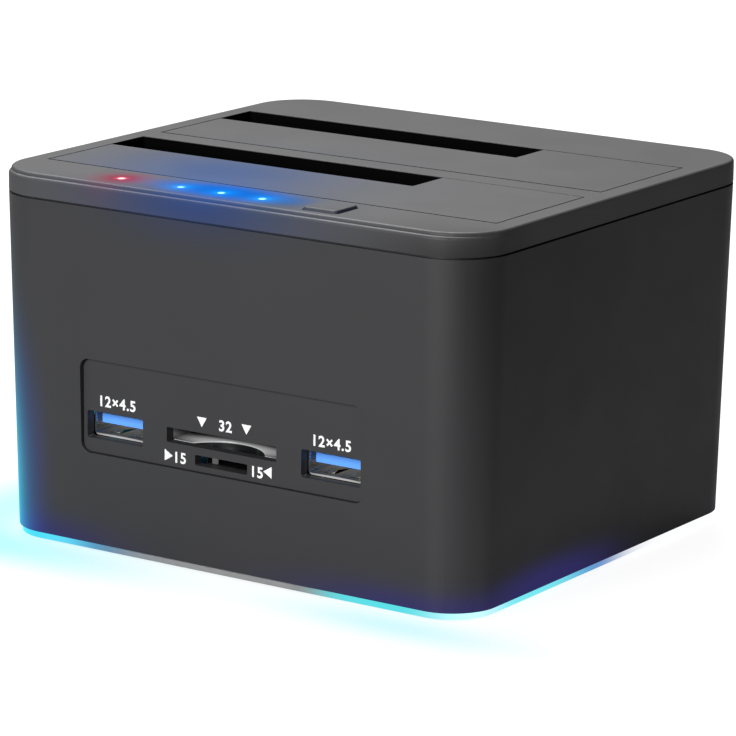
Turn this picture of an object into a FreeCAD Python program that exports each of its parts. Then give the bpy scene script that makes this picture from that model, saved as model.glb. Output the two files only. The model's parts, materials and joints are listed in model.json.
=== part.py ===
"""Twin-bay drive duplicator: a desk-top dock that takes two bare drives upright.

A drafted housing stands on a screwed base and a light ring.  A cover closes the top, with two
sprung flaps over the drive bays.  Inside, a cradle guides the drives onto connectors on the main
board, and a second board behind the port panel carries the front sockets.

Millimetres.  +X is to the right along the port panel, +Y to the back, +Z up.  The origin lies
under the middle of the object, on the surface that the feet stand on.
"""
import FreeCAD, Part
import math
import os
from FreeCAD import Vector as V

# ---- drives and bays -----------------------------------------------------------------------
LARGE_DRIVE_WIDTH = 101.6
SMALL_DRIVE_WIDTH = 69.85
BAY_SIDE_PLAY = 1.2           # each side of a large drive
SLOT_SIDE_PLAY = 1.2          # each side of a small drive
BAY_DEPTH = 31.2
SLOT_DEPTH = 10.9
BAY_GAP = 5.6                 # between the two bays
FRONT_MARGIN = 13.8           # from the cover's front edge to the front bay
REAR_MARGIN = 20.8            # from the rear bay to the cover's back edge
SIDE_MARGIN = 4.3             # from a bay's end to the cover's side

# ---- housing and cover ---------------------------------------------------------------------
CORNER_R = 11.2
DRAFT = 1.5                   # how far each side leans in from the rim to the bottom edge
WALL = 1.8
FOOT_DROP = 0.8
RING_HEIGHT = 1.4
HOUSING_HEIGHT = 67.2
COVER_EDGE = 4.5
COVER_PLATE = 2.0
COVER_SIDE = 3.2              # side wall of the cover above the rim
SHOULDER_INSET = 0.8          # the step runs along the front and fades round its corners
SHOULDER_RISE = 0.7
SHOULDER_R = 0.65
PLATEAU_R = 0.6
SEAM_GAP = 0.4
SEAM_DEPTH = 0.8
SKIRT_DEPTH = 3.0
SKIRT_WALL = 1.3
FIT_CLEARANCE = 0.1
RIM_WALL = 1.2                # wall round a bay, in the cover and in the cradle
RIM_GAP = 0.2                 # between the cover's bay rims and the cradle's walls
HOOK_WIDTH = 8.0
HOOK_HEIGHT = 0.9
HOOK_REACH = 0.5
HOOK_DROP = 1.9               # from the housing's rim down to a hook's top

# ---- flaps ---------------------------------------------------------------------------------
FLAP_GAP = 0.35
FLAP_PLATE = 1.8
KNUCKLE_R = 2.0
HINGE_GAP = 0.5               # from a bay's front edge to the flap's squared front edge
PIN_R = 0.75
PIN_PLAY = 0.05
PIN_SEAT = 1.5                # how far a pin's end sits in the cover's wall
KNUCKLE_LENGTH = 7.0
SPRING_WIRE_R = 0.2
SPRING_COIL_R = 1.17
SPRING_TURNS = 9
SPRING_PITCH = 0.55
SPRING_POCKET_R = 1.62
SPRING_POCKET_LENGTH = 11.0
SPRING_LEG = 7.0
STOP_WIDTH = 5.0
STOP_THICK = 1.0
STOP_REACH = 0.9
STOP_ROOT = 3.6
STOP_CLEARANCE = 0.12
FLAP_RIB_WIDTH = 1.2
FLAP_RIB_HEIGHT = 1.4

# ---- lights and button on the cover --------------------------------------------------------
INDICATOR_Y = 6.8             # from the cover's front edge to the row of lights
POWER_LIGHT_X = -28.3
FIRST_COPY_LIGHT_X = -14.2
COPY_LIGHT_PITCH = 9.45
COPY_LIGHTS = 3
LIGHT_R = 0.8
LIGHT_COLLAR_R = 1.4
LIGHT_PLAY = 0.04
BUTTON_X = 20.1
BUTTON_WIDTH = 7.6
BUTTON_DEPTH = 7.6
BUTTON_CORNER_R = 0.9
BUTTON_PROUD = 0.6
BUTTON_PLAY = 0.3
BUTTON_FLANGE = (9.6, 6.4, 0.9)              # width, depth, thickness
BUTTON_TRAVEL = 0.5
INDICATOR_BOARD_DROP = 8.7    # from the underside of the cover's plate to the board's top
INDICATOR_BOARD = (-38.5, 31.5, 4.5, 1.2)   # left end, right end, reach behind the lights, thickness
INDICATOR_BOSS_X = (-35.5, 29.0)
INDICATOR_BOSS_R = 2.1

# ---- port panel and front sockets ----------------------------------------------------------
PANEL_WIDTH = 65.8
PANEL_LOW = 18.2              # above the housing's bottom edge
PANEL_HIGH = 36.9
PANEL_CORNER_R = 2.0
PANEL_SINK = 0.65             # how far the panel's face lies behind the housing's, at its foot
PANEL_THICK = 2.1
PANEL_FLANGE = 1.6
PANEL_PLAY = 0.15
PORT_CENTRE = -1.0            # middle of the panel, its ports and its card slots
PORT_X = 25.2                 # from that middle to each port's middle
PORT_LOW = 21.25
PORT_SHELL = (13.1, 5.12, 16.0, 0.3)        # width, height, depth, sheet
PORT_HOLE_PLAY = 0.15
SOCKET_SETBACK = 0.1          # from the panel's back to the front sockets
CARD_SLOT = (25.6, 2.95, 23.05)             # width, height, low edge above the housing's
CARD_SOCKET_DEPTH = 26.5
CARD_NOTCH_HALF = 8.6
CARD_NOTCH_DEPTH = 5.0
SMALL_CARD_SLOT = (12.2, 2.05, 19.47)
SMALL_CARD_SOCKET_DEPTH = 14.0
SMALL_CARD_SETBACK = 1.4      # from the front sockets' faces to the small card socket's
CARD_TAB = (1.2, 0.4, 1.8)    # width, thickness, place from the slot's left end
SHEET = 0.3
PORT_BOARD_LOW = 21.65        # above the housing's bottom edge
PORT_BOARD_THICK = 1.2
PORT_BOARD_WIDTH = 76.0
PORT_BOARD_DEPTH = 32.0

# ---- cradle, main board and drive connectors -----------------------------------------------
MAIN_BOARD_LIFT = 8.15         # from the port board's underside to the main board's
MAIN_BOARD_THICK = 1.6
MAIN_BOARD_HALF = 41.0
MAIN_BOARD_FRONT = -36.0
CRADLE_LIFT = 2.4             # from the main board's top to the cradle's floor
CRADLE_FLOOR = 1.5
CRADLE_CLEARANCE = 0.3        # from the cradle to the housing's wall
CONNECTOR = (39.0, 5.6, 9.0)  # length, depth, height
CONNECTOR_SETBACK = 4.2       # from a bay's back edge to the connector's middle
CONNECTOR_SHIFT = 0.4         # from the small slot's middle
CONNECTOR_PLAY = 0.4
SIGNAL_PINS = 7
POWER_PINS = 15
PIN_PITCH = 1.27
BLADE_SLOT = 2.4
BLADE_SLOT_DEPTH = 5.5
POST_R = 2.75
POST_X = 44.5
POST_FRONT = 10.0             # from the cover's front edge to a front post
POST_REAR = 9.6               # from the cover's back edge to a rear post
PILOT_R = 1.1
SCREW_R = 1.0
SCREW_HEAD_R = 2.0
SCREW_HEAD = 1.3
SCREW_LENGTH = 8.0
BOARD_BOSS_R = 2.3
BOARD_SCREW_R = 0.8
BOARD_SCREW_HEAD_R = 1.6
BOARD_SCREW_HEAD = 1.1

# ---- base ----------------------------------------------------------------------------------
RING_INSET = 0.6
RING_LEDGE = 0.7              # of the base, under the ring's inner step
BASE_THICK = 2.0
RING_UPSTAND = 2.2
FOOT_R = 5.0
FOOT_SINK = 0.8
FOOT_X = 38.0
FOOT_Y = 31.0
BOARD_POST_R = 2.2
GLOW_BOARD_WIDTH = 7.0
GLOW_BOARD_THICK = 1.0

# ---- rear sockets --------------------------------------------------------------------------
JACK_X = 34.0
JACK = (9.0, 11.0, 13.5)      # width, height, depth
JACK_COLLAR_R = 4.2
JACK_BORE_R = 3.1
JACK_PIN_R = 1.0
HOST_PORT_X = -20.0
HOST_PORT = (12.0, 10.9, 15.5)
SWITCH_X = 9.0
SWITCH = (15.0, 10.5, 11.0)
SWITCH_TILT = 9.0             # degrees either side of level
REAR_SETBACK = 0.5            # from the rear wall's face to the sockets' faces
HOLE_PLAY = 0.2

# ---- worked out from the sizes above -------------------------------------------------------
BAY_HALF = LARGE_DRIVE_WIDTH / 2 + BAY_SIDE_PLAY
SLOT_WIDTH = SMALL_DRIVE_WIDTH + 2 * SLOT_SIDE_PLAY
TOP_WIDTH = 2 * (BAY_HALF + SIDE_MARGIN)
TOP_DEPTH = FRONT_MARGIN + 2 * BAY_DEPTH + BAY_GAP + REAR_MARGIN
Z_BASE = FOOT_DROP
Z_EDGE = Z_BASE + RING_HEIGHT                 # bottom edge of the housing
Z_RIM = Z_EDGE + HOUSING_HEIGHT
Z_TOP = Z_RIM + COVER_EDGE
Z_PLATE = Z_TOP - COVER_PLATE                 # underside of the cover's plate
RIM_DROP = Z_PLATE - Z_RIM + SKIRT_DEPTH      # how far the bay rims hang below the plate
Y_FRONT = -TOP_DEPTH / 2
Y_BACK = TOP_DEPTH / 2
BAY_FRONTS = {"front": Y_FRONT + FRONT_MARGIN,
              "rear": Y_FRONT + FRONT_MARGIN + BAY_DEPTH + BAY_GAP}
SLOT_RIGHT = -BAY_HALF + SLOT_WIDTH
PIVOT_Z = Z_TOP - KNUCKLE_R
PIVOT_SETBACK = FLAP_GAP + KNUCKLE_R
Z_PORT_BOARD = Z_EDGE + PORT_BOARD_LOW
Z_MAIN_BOARD = Z_PORT_BOARD + MAIN_BOARD_LIFT
Z_MAIN_TOP = Z_MAIN_BOARD + MAIN_BOARD_THICK
Z_CRADLE = Z_MAIN_TOP + CRADLE_LIFT
Z_FLOOR = Z_CRADLE + CRADLE_FLOOR
Z_CRADLE_TOP = Z_RIM - SKIRT_DEPTH - RIM_GAP
CONNECTOR_X = -BAY_HALF + SLOT_WIDTH / 2 + CONNECTOR_SHIFT
Z_INDICATOR = Z_PLATE - INDICATOR_BOARD_DROP
LIGHT_Y = Y_FRONT + INDICATOR_Y
COPY_LIGHT_XS = [FIRST_COPY_LIGHT_X + COPY_LIGHT_PITCH * i for i in range(COPY_LIGHTS)]
POSTS = [(sx * POST_X, y) for sx in (-1, 1)
         for y in (Y_FRONT + POST_FRONT, Y_BACK - POST_REAR)]
Y_PANEL = Y_FRONT + DRAFT * (1 - PANEL_LOW / HOUSING_HEIGHT) + PANEL_SINK
Y_SOCKETS = Y_PANEL + PANEL_THICK + SOCKET_SETBACK
Z_BASE_TOP = Z_BASE + BASE_THICK
MAIN_BOARD_BACK = Y_BACK - DRAFT - WALL - 0.6
REAR_SCREW_Y = (BAY_FRONTS["rear"] + BAY_DEPTH - CONNECTOR_SETBACK - CONNECTOR[1] / 2
                - CONNECTOR_PLAY - BOARD_BOSS_R - 1.0)
MAIN_SCREWS = [(sx * (MAIN_BOARD_HALF - 3.2), y)
               for sx in (-1, 1) for y in (MAIN_BOARD_FRONT + 3.0, REAR_SCREW_Y)]
PORT_BOARD_FRONT = Y_SOCKETS + 0.6
PORT_SCREWS = [(sx * (PORT_BOARD_WIDTH / 2 - 3.0), y)
               for sx in (-1, 1) for y in (PORT_BOARD_FRONT + 3.4, PORT_BOARD_FRONT + PORT_BOARD_DEPTH - 3.4)]
FEET = [(sx * FOOT_X, sy * FOOT_Y) for sx in (-1, 1) for sy in (-1, 1)]
EPS = 0.01


# ---- shape helpers -------------------------------------------------------------------------
def box(x0, x1, y0, y1, z0, z1):
    """A block between two corners."""
    return Part.makeBox(x1 - x0, y1 - y0, z1 - z0, V(x0, y0, z0))


def tube_z(r, x, y, z0, z1):
    """An upright cylinder."""
    return Part.makeCylinder(r, z1 - z0, V(x, y, z0))


def rod_x(r, x0, x1, y, z):
    """A cylinder along X."""
    return Part.makeCylinder(r, x1 - x0, V(x0, y, z), V(1, 0, 0))


def rod_y(r, x, z, y0, y1):
    """A cylinder along Y."""
    return Part.makeCylinder(r, y1 - y0, V(x, y0, z), V(0, 1, 0))


def round_rect(w, d, r, z, x=0.0, y=0.0):
    """A closed wire: a rectangle with rounded corners, level at z."""
    hx, hy, k = w / 2, d / 2, r * (1 - math.sqrt(0.5))
    corners = [(1, -1), (1, 1), (-1, 1), (-1, -1)]
    arcs = []
    for sx, sy in corners:
        a = V(x + sx * (hx - r), y + sy * hy, z)
        b = V(x + sx * hx, y + sy * (hy - r), z)
        m = V(x + sx * (hx - k), y + sy * (hy - k), z)
        arcs.append((a, m, b) if sx * sy < 0 else (b, m, a))
    edges = []
    for i, (a, m, b) in enumerate(arcs):
        edges.append(Part.Arc(a, m, b).toShape())
        edges.append(Part.LineSegment(b, arcs[(i + 1) % 4][0]).toShape())
    return Part.Wire(edges)


def slab(w, d, r, z0, z1, x=0.0, y=0.0):
    """A level plate with rounded corners."""
    return Part.Face(round_rect(w, d, r, z0, x, y)).extrude(V(0, 0, z1 - z0))


def slab_y(w, h, r, x, z, y0, y1):
    """A plate with rounded corners that faces along Y, centred at x, z."""
    plate = slab(w, h, r, 0, y1 - y0)
    plate.rotate(V(0, 0, 0), V(1, 0, 0), 90)
    plate.translate(V(x, y1, z))
    return plate


def profile_x(points, x0, x1):
    """A prism along X from (y, z) corners."""
    corners = [V(x0, y, z) for y, z in points]
    face = Part.Face(Part.makePolygon(corners + corners[:1]))
    return face.extrude(V(x1 - x0, 0, 0))


def fuse(shapes):
    """One solid from several that touch."""
    return shapes[0].multiFuse(shapes[1:]).removeSplitter()


def cut(shape, tools):
    """The shape with all the tools taken out."""
    return shape.cut(Part.makeCompound(tools)) if tools else shape


def leaning_rect(z, inset):
    """Outline of the drafted housing at a height, taken in by inset."""
    lean = 2 * DRAFT * (Z_RIM - z) / HOUSING_HEIGHT
    w, d = TOP_WIDTH - lean - 2 * inset, TOP_DEPTH - lean - 2 * inset
    return round_rect(w, d, CORNER_R - lean / 2 - inset, z)


def leaning_block(z0, z1, inset):
    """The solid inside the housing's drafted outline."""
    return Part.makeLoft([leaning_rect(z0, inset), leaning_rect(z1, inset)], True, True)


def screw(x, y, z, length, r, head_r, head, up):
    """A pan-head screw with a cross recess; its head's seat is at z, and the shank runs up or down."""
    s = 1 if up else -1
    shank = Part.makeCylinder(r, length, V(x, y, z), V(0, 0, s))
    cap = Part.makeCylinder(head_r, head, V(x, y, z), V(0, 0, -s))
    body = shank.fuse(cap)
    far = [e for e in body.Edges if abs(e.BoundBox.ZMin - (z - s * head)) < EPS
           and abs(e.BoundBox.ZMax - (z - s * head)) < EPS]
    body = body.makeFillet(head * 0.35, far)
    depth, arm, half = head * 0.55, head_r * 0.55, head_r * 0.12
    z0, z1 = sorted((z - s * (head - depth), z - s * (head + 1)))
    return body.cut(box(x - arm, x + arm, y - half, y + half, z0, z1)).cut(
        box(x - half, x + half, y - arm, y + arm, z0, z1))


def hooks(z0, z1, reach):
    """Snap hooks round the skirt, or their pockets: blocks across the housing's inner wall."""
    hx = TOP_WIDTH / 2 - WALL - FIT_CLEARANCE
    hy = TOP_DEPTH / 2 - WALL - FIT_CLEARANCE
    half = HOOK_WIDTH / 2
    found = []
    for sx in (-1, 1):
        a, b = sorted((sx * (hx - 0.3), sx * (hx + reach)))
        found.append(box(a, b, -half, half, z0, z1))
        for sy in (-1, 1):
            c, d = sorted((sy * (hy - 0.3), sy * (hy + reach)))
            x = sx * TOP_WIDTH / 4
            found.append(box(x - half, x + half, c, d, z0, z1))
    return found


# ---- housing, cover, base ------------------------------------------------------------------
def main_housing():
    """Drafted four-sided shell with a sunk port window, rear cut-outs and corner screw posts."""
    outer = leaning_block(Z_EDGE, Z_RIM, 0)
    inner = leaning_block(Z_EDGE - 1, Z_RIM + 1, WALL)
    shell = outer.cut(inner)
    posts = []
    z0, z1 = Z_BASE_TOP + FIT_CLEARANCE, Z_CRADLE
    web_z = Z_EDGE + RING_UPSTAND + 0.4
    for x, y in POSTS:
        sx, sy = math.copysign(1, x), math.copysign(1, y)
        xs, ys = sorted((x, x + sx * 20)), sorted((y, y + sy * 20))
        posts += [tube_z(POST_R, x, y, z0, z1),
                  box(xs[0], xs[1], y - 0.7, y + 0.7, web_z, z1).common(leaning_block(Z_EDGE, Z_RIM, WALL / 2)),
                  box(x - 0.7, x + 0.7, ys[0], ys[1], web_z, z1).common(leaning_block(Z_EDGE, Z_RIM, WALL / 2))]
    shell = fuse([shell] + posts)
    holes = [tube_z(PILOT_R, x, y, z0 - 1, z0 + SCREW_LENGTH + 2) for x, y in POSTS]
    holes += [tube_z(PILOT_R, x, y, z1 - SCREW_LENGTH - 2, z1 + 1) for x, y in POSTS]
    ring = slab(TOP_WIDTH + 2, TOP_DEPTH + 2, CORNER_R, Z_RIM - SEAM_GAP, Z_RIM + 1).cut(
        slab(TOP_WIDTH - 2 * SEAM_DEPTH, TOP_DEPTH - 2 * SEAM_DEPTH, CORNER_R - SEAM_DEPTH,
             Z_RIM - SEAM_GAP - 1, Z_RIM + 2))
    window_z = Z_EDGE + (PANEL_LOW + PANEL_HIGH) / 2
    window = slab_y(PANEL_WIDTH, PANEL_HIGH - PANEL_LOW, PANEL_CORNER_R, PORT_CENTRE, window_z,
                    Y_FRONT - 1, Y_FRONT + 8)
    rear = [slab_y(HOST_PORT[0] + 2 * HOLE_PLAY, HOST_PORT[1] + 2 * HOLE_PLAY, 0.8, HOST_PORT_X,
                   Z_MAIN_TOP + HOST_PORT[1] / 2, Y_BACK - 8, Y_BACK + 1),
            slab_y(SWITCH[0] + 2 * HOLE_PLAY, SWITCH[1] + 2 * HOLE_PLAY, 1.2, SWITCH_X,
                   Z_MAIN_TOP + SWITCH[1] / 2, Y_BACK - 8, Y_BACK + 1),
            rod_y(JACK_COLLAR_R + HOLE_PLAY, JACK_X, Z_MAIN_TOP + JACK[1] / 2, Y_BACK - 8, Y_BACK + 1)]
    pockets = hooks(Z_RIM - HOOK_DROP - HOOK_HEIGHT - 0.2, Z_RIM - HOOK_DROP + 0.2, HOOK_REACH + 0.25)
    return cut(shell, holes + [ring, window] + rear + pockets)


def top_cover():
    """Cover with a raised plateau, bay openings with rims, pin seats, light holes and a skirt."""
    low = slab(TOP_WIDTH, TOP_DEPTH, CORNER_R, Z_RIM, Z_TOP - SHOULDER_RISE)
    edges = [e for e in low.Edges if e.BoundBox.ZMin > Z_TOP - SHOULDER_RISE - EPS]
    low = low.makeFillet(SHOULDER_R, edges)
    high = slab(TOP_WIDTH - 0.02, TOP_DEPTH - SHOULDER_INSET - 0.01, CORNER_R, Z_RIM + 0.1, Z_TOP,
                0, (SHOULDER_INSET - 0.01) / 2)
    edges = [e for e in high.Edges if e.BoundBox.ZMin > Z_TOP - EPS]
    high = high.makeFillet(PLATEAU_R, edges)
    body = low.fuse(high)
    body = body.cut(slab(TOP_WIDTH - 2 * COVER_SIDE, TOP_DEPTH - 2 * COVER_SIDE,
                         CORNER_R - COVER_SIDE, Z_RIM - 1, Z_PLATE))
    inset = WALL + FIT_CLEARANCE
    skirt = slab(TOP_WIDTH - 2 * inset, TOP_DEPTH - 2 * inset, CORNER_R - inset,
                 Z_RIM - SKIRT_DEPTH, Z_RIM + 0.5)
    inset += SKIRT_WALL
    skirt = skirt.common(leaning_block(Z_RIM - SKIRT_DEPTH - 1, Z_RIM + 1, WALL + FIT_CLEARANCE)).cut(
        slab(TOP_WIDTH - 2 * inset, TOP_DEPTH - 2 * inset, CORNER_R - inset,
             Z_RIM - SKIRT_DEPTH - 1, Z_RIM + 1))
    parts = [body, skirt] + hooks(Z_RIM - HOOK_DROP - HOOK_HEIGHT, Z_RIM - HOOK_DROP, HOOK_REACH)
    openings = []
    for y in BAY_FRONTS.values():
        parts.append(box(-BAY_HALF - RIM_WALL, BAY_HALF + RIM_WALL, y - RIM_WALL,
                         y + BAY_DEPTH + RIM_WALL, Z_PLATE - RIM_DROP, Z_PLATE + 0.5))
        openings.append(box(-BAY_HALF, BAY_HALF, y, y + BAY_DEPTH, Z_PLATE - RIM_DROP - 1, Z_TOP + 1))
        pivot = y + PIVOT_SETBACK
        r = PIN_R + PIN_PLAY
        reach = BAY_HALF + PIN_SEAT + 0.1
        openings.append(rod_x(r, -reach, reach, pivot, PIVOT_Z))
        openings.append(box(-reach, reach, pivot - r, pivot + r, Z_RIM - SKIRT_DEPTH - 1, PIVOT_Z))
        for x in stop_places():
            openings.append(box(x - STOP_WIDTH / 2 - 0.6, x + STOP_WIDTH / 2 + 0.6, y + BAY_DEPTH - EPS,
                                y + BAY_DEPTH + RIM_WALL + EPS, Z_PLATE - RIM_DROP - 1, Z_PLATE))
    parts += [tube_z(INDICATOR_BOSS_R, x, LIGHT_Y, Z_INDICATOR, Z_PLATE + 0.5) for x in INDICATOR_BOSS_X]
    openings += [tube_z(BOARD_SCREW_R, x, LIGHT_Y, Z_INDICATOR - 1, Z_INDICATOR + 6) for x in INDICATOR_BOSS_X]
    openings += [tube_z(LIGHT_R + LIGHT_PLAY, x, LIGHT_Y, Z_PLATE - 1, Z_TOP + 1)
                 for x in [POWER_LIGHT_X] + COPY_LIGHT_XS]
    openings.append(slab(BUTTON_WIDTH + 2 * BUTTON_PLAY, BUTTON_DEPTH + 2 * BUTTON_PLAY,
                         BUTTON_CORNER_R + BUTTON_PLAY, Z_PLATE - 1, Z_TOP + 1, BUTTON_X, LIGHT_Y))
    return cut(fuse(parts), openings)


def base_outline(inset, z0, z1):
    """A level plate in the shape of the housing's bottom edge, taken in by inset."""
    inset += DRAFT
    return slab(TOP_WIDTH - 2 * inset, TOP_DEPTH - 2 * inset, CORNER_R - inset, z0, z1)


LIP_INSET = WALL + 0.3                        # outside of the ring's upstand
LIP_THICK = 1.7
BASE_INSET = LIP_INSET + LIP_THICK + FIT_CLEARANCE


def light_ring():
    """Milky light guide under the housing's edge, with an upstand that faces the lamps."""
    step = Z_BASE + RING_LEDGE
    body = fuse([base_outline(RING_INSET, Z_BASE, Z_EDGE), base_outline(LIP_INSET, Z_EDGE - 0.5, Z_EDGE + RING_UPSTAND)])
    body = body.cut(base_outline(BASE_INSET - FIT_CLEARANCE, Z_BASE - 1, Z_EDGE + RING_UPSTAND + 1))
    return body.cut(base_outline(LIP_INSET, Z_BASE - 1, step))


def base_plate():
    """Bottom plate with a ledge under the light ring, board posts, foot pockets, vents and screw seats."""
    body = fuse([base_outline(LIP_INSET + FIT_CLEARANCE, Z_BASE, Z_BASE + RING_LEDGE - FIT_CLEARANCE),
                 base_outline(BASE_INSET, Z_BASE, Z_BASE_TOP)]
                + [tube_z(BOARD_POST_R, x, y, Z_BASE_TOP - 0.5, Z_PORT_BOARD) for x, y in PORT_SCREWS])
    tools = [tube_z(BOARD_SCREW_R, x, y, Z_PORT_BOARD - 6, Z_PORT_BOARD + 1) for x, y in PORT_SCREWS]
    tools += [tube_z(FOOT_R + 0.1, x, y, Z_BASE - 1, Z_BASE + FOOT_SINK) for x, y in FEET]
    tools += [tube_z(SCREW_R + 0.25, x, y, Z_BASE - 1, Z_BASE_TOP + 1) for x, y in POSTS]
    tools += [tube_z(SCREW_HEAD_R + 0.25, x, y, Z_BASE - 1, Z_BASE + SCREW_HEAD) for x, y in POSTS]
    for i in range(-4, 5):
        for y in (-9.0, 9.0):
            tools.append(slab(2.0, 14.0, 0.99, Z_BASE - 1, Z_BASE_TOP + 1, i * 5.0, y))
    return cut(body, tools)


def rubber_feet():
    """Four round feet glued in the base's pockets."""
    feet = []
    for x, y in FEET:
        foot = tube_z(FOOT_R, x, y, 0, Z_BASE + FOOT_SINK)
        low = [e for e in foot.Edges if e.BoundBox.ZMax < EPS]
        feet.append(foot.makeFillet(0.3, low))
    return feet


def glow_board():
    """Narrow board round the base, under the light ring's upstand."""
    outer = base_outline(BASE_INSET + 0.4, Z_BASE_TOP, Z_BASE_TOP + GLOW_BOARD_THICK)
    inset = DRAFT + BASE_INSET + 0.4 + GLOW_BOARD_WIDTH
    body = outer.cut(slab(TOP_WIDTH - 2 * inset, TOP_DEPTH - 2 * inset, 1.5, Z_BASE_TOP - 1, Z_BASE_TOP + 3))
    return cut(body, [tube_z(POST_R + 0.5, x, y, Z_BASE_TOP - 1, Z_BASE_TOP + 3) for x, y in POSTS]
               + [tube_z(BOARD_POST_R + 0.4, x, y, Z_BASE_TOP - 1, Z_BASE_TOP + 3) for x, y in PORT_SCREWS])


def glow_lamps():
    """Side-lit lamps along the glow board's outer edge."""
    inset = DRAFT + BASE_INSET + 0.5
    hx, hy = TOP_WIDTH / 2 - inset, TOP_DEPTH / 2 - inset
    z0, z1 = Z_BASE_TOP + GLOW_BOARD_THICK, Z_BASE_TOP + GLOW_BOARD_THICK + 1.2
    found = []
    for sign in (-1, 1):
        for x in (-24.0, -8.0, 8.0, 24.0):
            a, b = sorted((sign * hy, sign * (hy - 1.6)))
            found.append(box(x - 1.6, x + 1.6, a, b, z0, z1))
        for y in (-15.0, 0.0, 15.0):
            a, b = sorted((sign * hx, sign * (hx - 1.6)))
            found.append(box(a, b, y - 1.6, y + 1.6, z0, z1))
    return found


# ---- flaps ---------------------------------------------------------------------------------
def stop_places():
    """Where along X a flap's two stops stand."""
    span = BAY_HALF - SLOT_RIGHT
    return (SLOT_RIGHT + 0.22 * span, SLOT_RIGHT + 0.80 * span)


def knuckle_spans():
    """X ranges of a flap's knuckles: two at the ends and two beside the spring."""
    end = BAY_HALF - FLAP_GAP
    side = SPRING_POCKET_LENGTH / 2
    return ((-end, -end + KNUCKLE_LENGTH), (-side - KNUCKLE_LENGTH, -side),
            (side, side + KNUCKLE_LENGTH), (end - KNUCKLE_LENGTH, end))


def flap(front):
    """Sprung door over a bay, cut away at the back left for a small drive."""
    pivot = front + PIVOT_SETBACK
    end = BAY_HALF - FLAP_GAP
    back = front + BAY_DEPTH - FLAP_GAP
    nose = box(-end, end, front + HINGE_GAP, pivot, PIVOT_Z, Z_TOP)
    plate = box(-end, end, pivot - EPS, back, Z_TOP - FLAP_PLATE, Z_TOP)
    heel = box(-end, end, pivot - EPS, pivot + KNUCKLE_R, PIVOT_Z, Z_TOP - FLAP_PLATE + EPS)
    parts = [nose, plate, heel] + [rod_x(KNUCKLE_R, a, b, pivot, PIVOT_Z) for a, b in knuckle_spans()]
    under = Z_TOP - FLAP_PLATE
    for x in (-0.86 * end, -0.5 * end, 0.5 * end, 0.86 * end):
        y1 = back - 2.5 if x > SLOT_RIGHT else front + BAY_DEPTH - SLOT_DEPTH - 1.5
        parts.append(profile_x([(pivot + 2.6, under + 0.2), (y1, under + 0.2), (y1 - 1.5, under - FLAP_RIB_HEIGHT),
                                (pivot + 4.0, under - FLAP_RIB_HEIGHT)], x - FLAP_RIB_WIDTH / 2, x + FLAP_RIB_WIDTH / 2))
    stop_top = Z_PLATE - STOP_CLEARANCE
    for x in stop_places():
        a, b = x - STOP_WIDTH / 2, x + STOP_WIDTH / 2
        parts.append(box(a, b, back - STOP_ROOT, front + BAY_DEPTH + STOP_REACH, stop_top - STOP_THICK, stop_top))
        parts.append(box(a, b, back - STOP_ROOT, back, stop_top - EPS, under + EPS))
    tools = [rod_x(PIN_R + PIN_PLAY, -end - 1, end + 1, pivot, PIVOT_Z),
             rod_x(SPRING_POCKET_R, -SPRING_POCKET_LENGTH / 2, SPRING_POCKET_LENGTH / 2, pivot, PIVOT_Z),
             box(-end - 1, SLOT_RIGHT, front + BAY_DEPTH - SLOT_DEPTH, front + BAY_DEPTH + 5,
                 PIVOT_Z - 5, Z_TOP + 1)]
    return cut(fuse(parts), tools)


def flap_pin(front):
    """Steel rod that a flap turns on, with chamfered ends."""
    end = BAY_HALF + PIN_SEAT
    rod = rod_x(PIN_R, -end, end, front + PIVOT_SETBACK, PIVOT_Z)
    rims = [e for e in rod.Edges if e.Curve.TypeId == "Part::GeomCircle"]
    return rod.makeChamfer(0.2, rims)


def wire_leg(start, end):
    """A straight round wire between two points."""
    return Part.makeCylinder(SPRING_WIRE_R, (end - start).Length, start, end - start)


def flap_spring(front):
    """Torsion spring round a pin: one leg under the flap, one against the bay's front rim."""
    pivot = front + PIVOT_SETBACK
    r, wire = SPRING_COIL_R, SPRING_WIRE_R
    foot = V(0, front - pivot + wire + 0.05, -SPRING_LEG * 0.5)
    start = math.atan2(-foot.z, -foot.y) - math.asin(r / foot.Length) - math.pi / 2
    stop = math.asin(r / SPRING_LEG) - math.pi / 2 + 2 * math.pi * SPRING_TURNS
    turns = (stop - start) / (2 * math.pi)
    length = turns * SPRING_PITCH
    slope = SPRING_PITCH / (2 * math.pi * r)
    ends = []
    for angle, x in ((start, 0), (stop, length)):
        point = V(x, r * math.cos(angle), r * math.sin(angle))
        ends.append((point, V(slope, -math.sin(angle), math.cos(angle)).normalize()))
    (first, u1), (last, u2) = ends
    helix = Part.makeHelix(SPRING_PITCH, length, r)
    helix.rotate(V(0, 0, 0), V(0, 0, 1), math.degrees(start))
    helix.rotate(V(0, 0, 0), V(1, 1, 1), 120)
    ring = Part.Wire(Part.makeCircle(wire, first, u1))
    coil = Part.Wire(helix.Edges).makePipeShell([ring], True, True)
    near = math.sqrt(foot.Length ** 2 - r * r)
    far = math.sqrt(SPRING_LEG ** 2 - r * r)
    spring = fuse([coil, wire_leg(first, first - u1 * near), wire_leg(last, last + u2 * far)])
    spring.translate(V(-length / 2, pivot, PIVOT_Z))
    return spring


# ---- lights and button on the cover --------------------------------------------------------
def light_pipe(x):
    """Clear pin that brings a lamp's light to the cover's top."""
    z0 = Z_INDICATOR + 1.1
    return fuse([tube_z(LIGHT_R, x, LIGHT_Y, z0, Z_TOP), tube_z(LIGHT_COLLAR_R, x, LIGHT_Y, z0, Z_PLATE - 0.1)])


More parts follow.
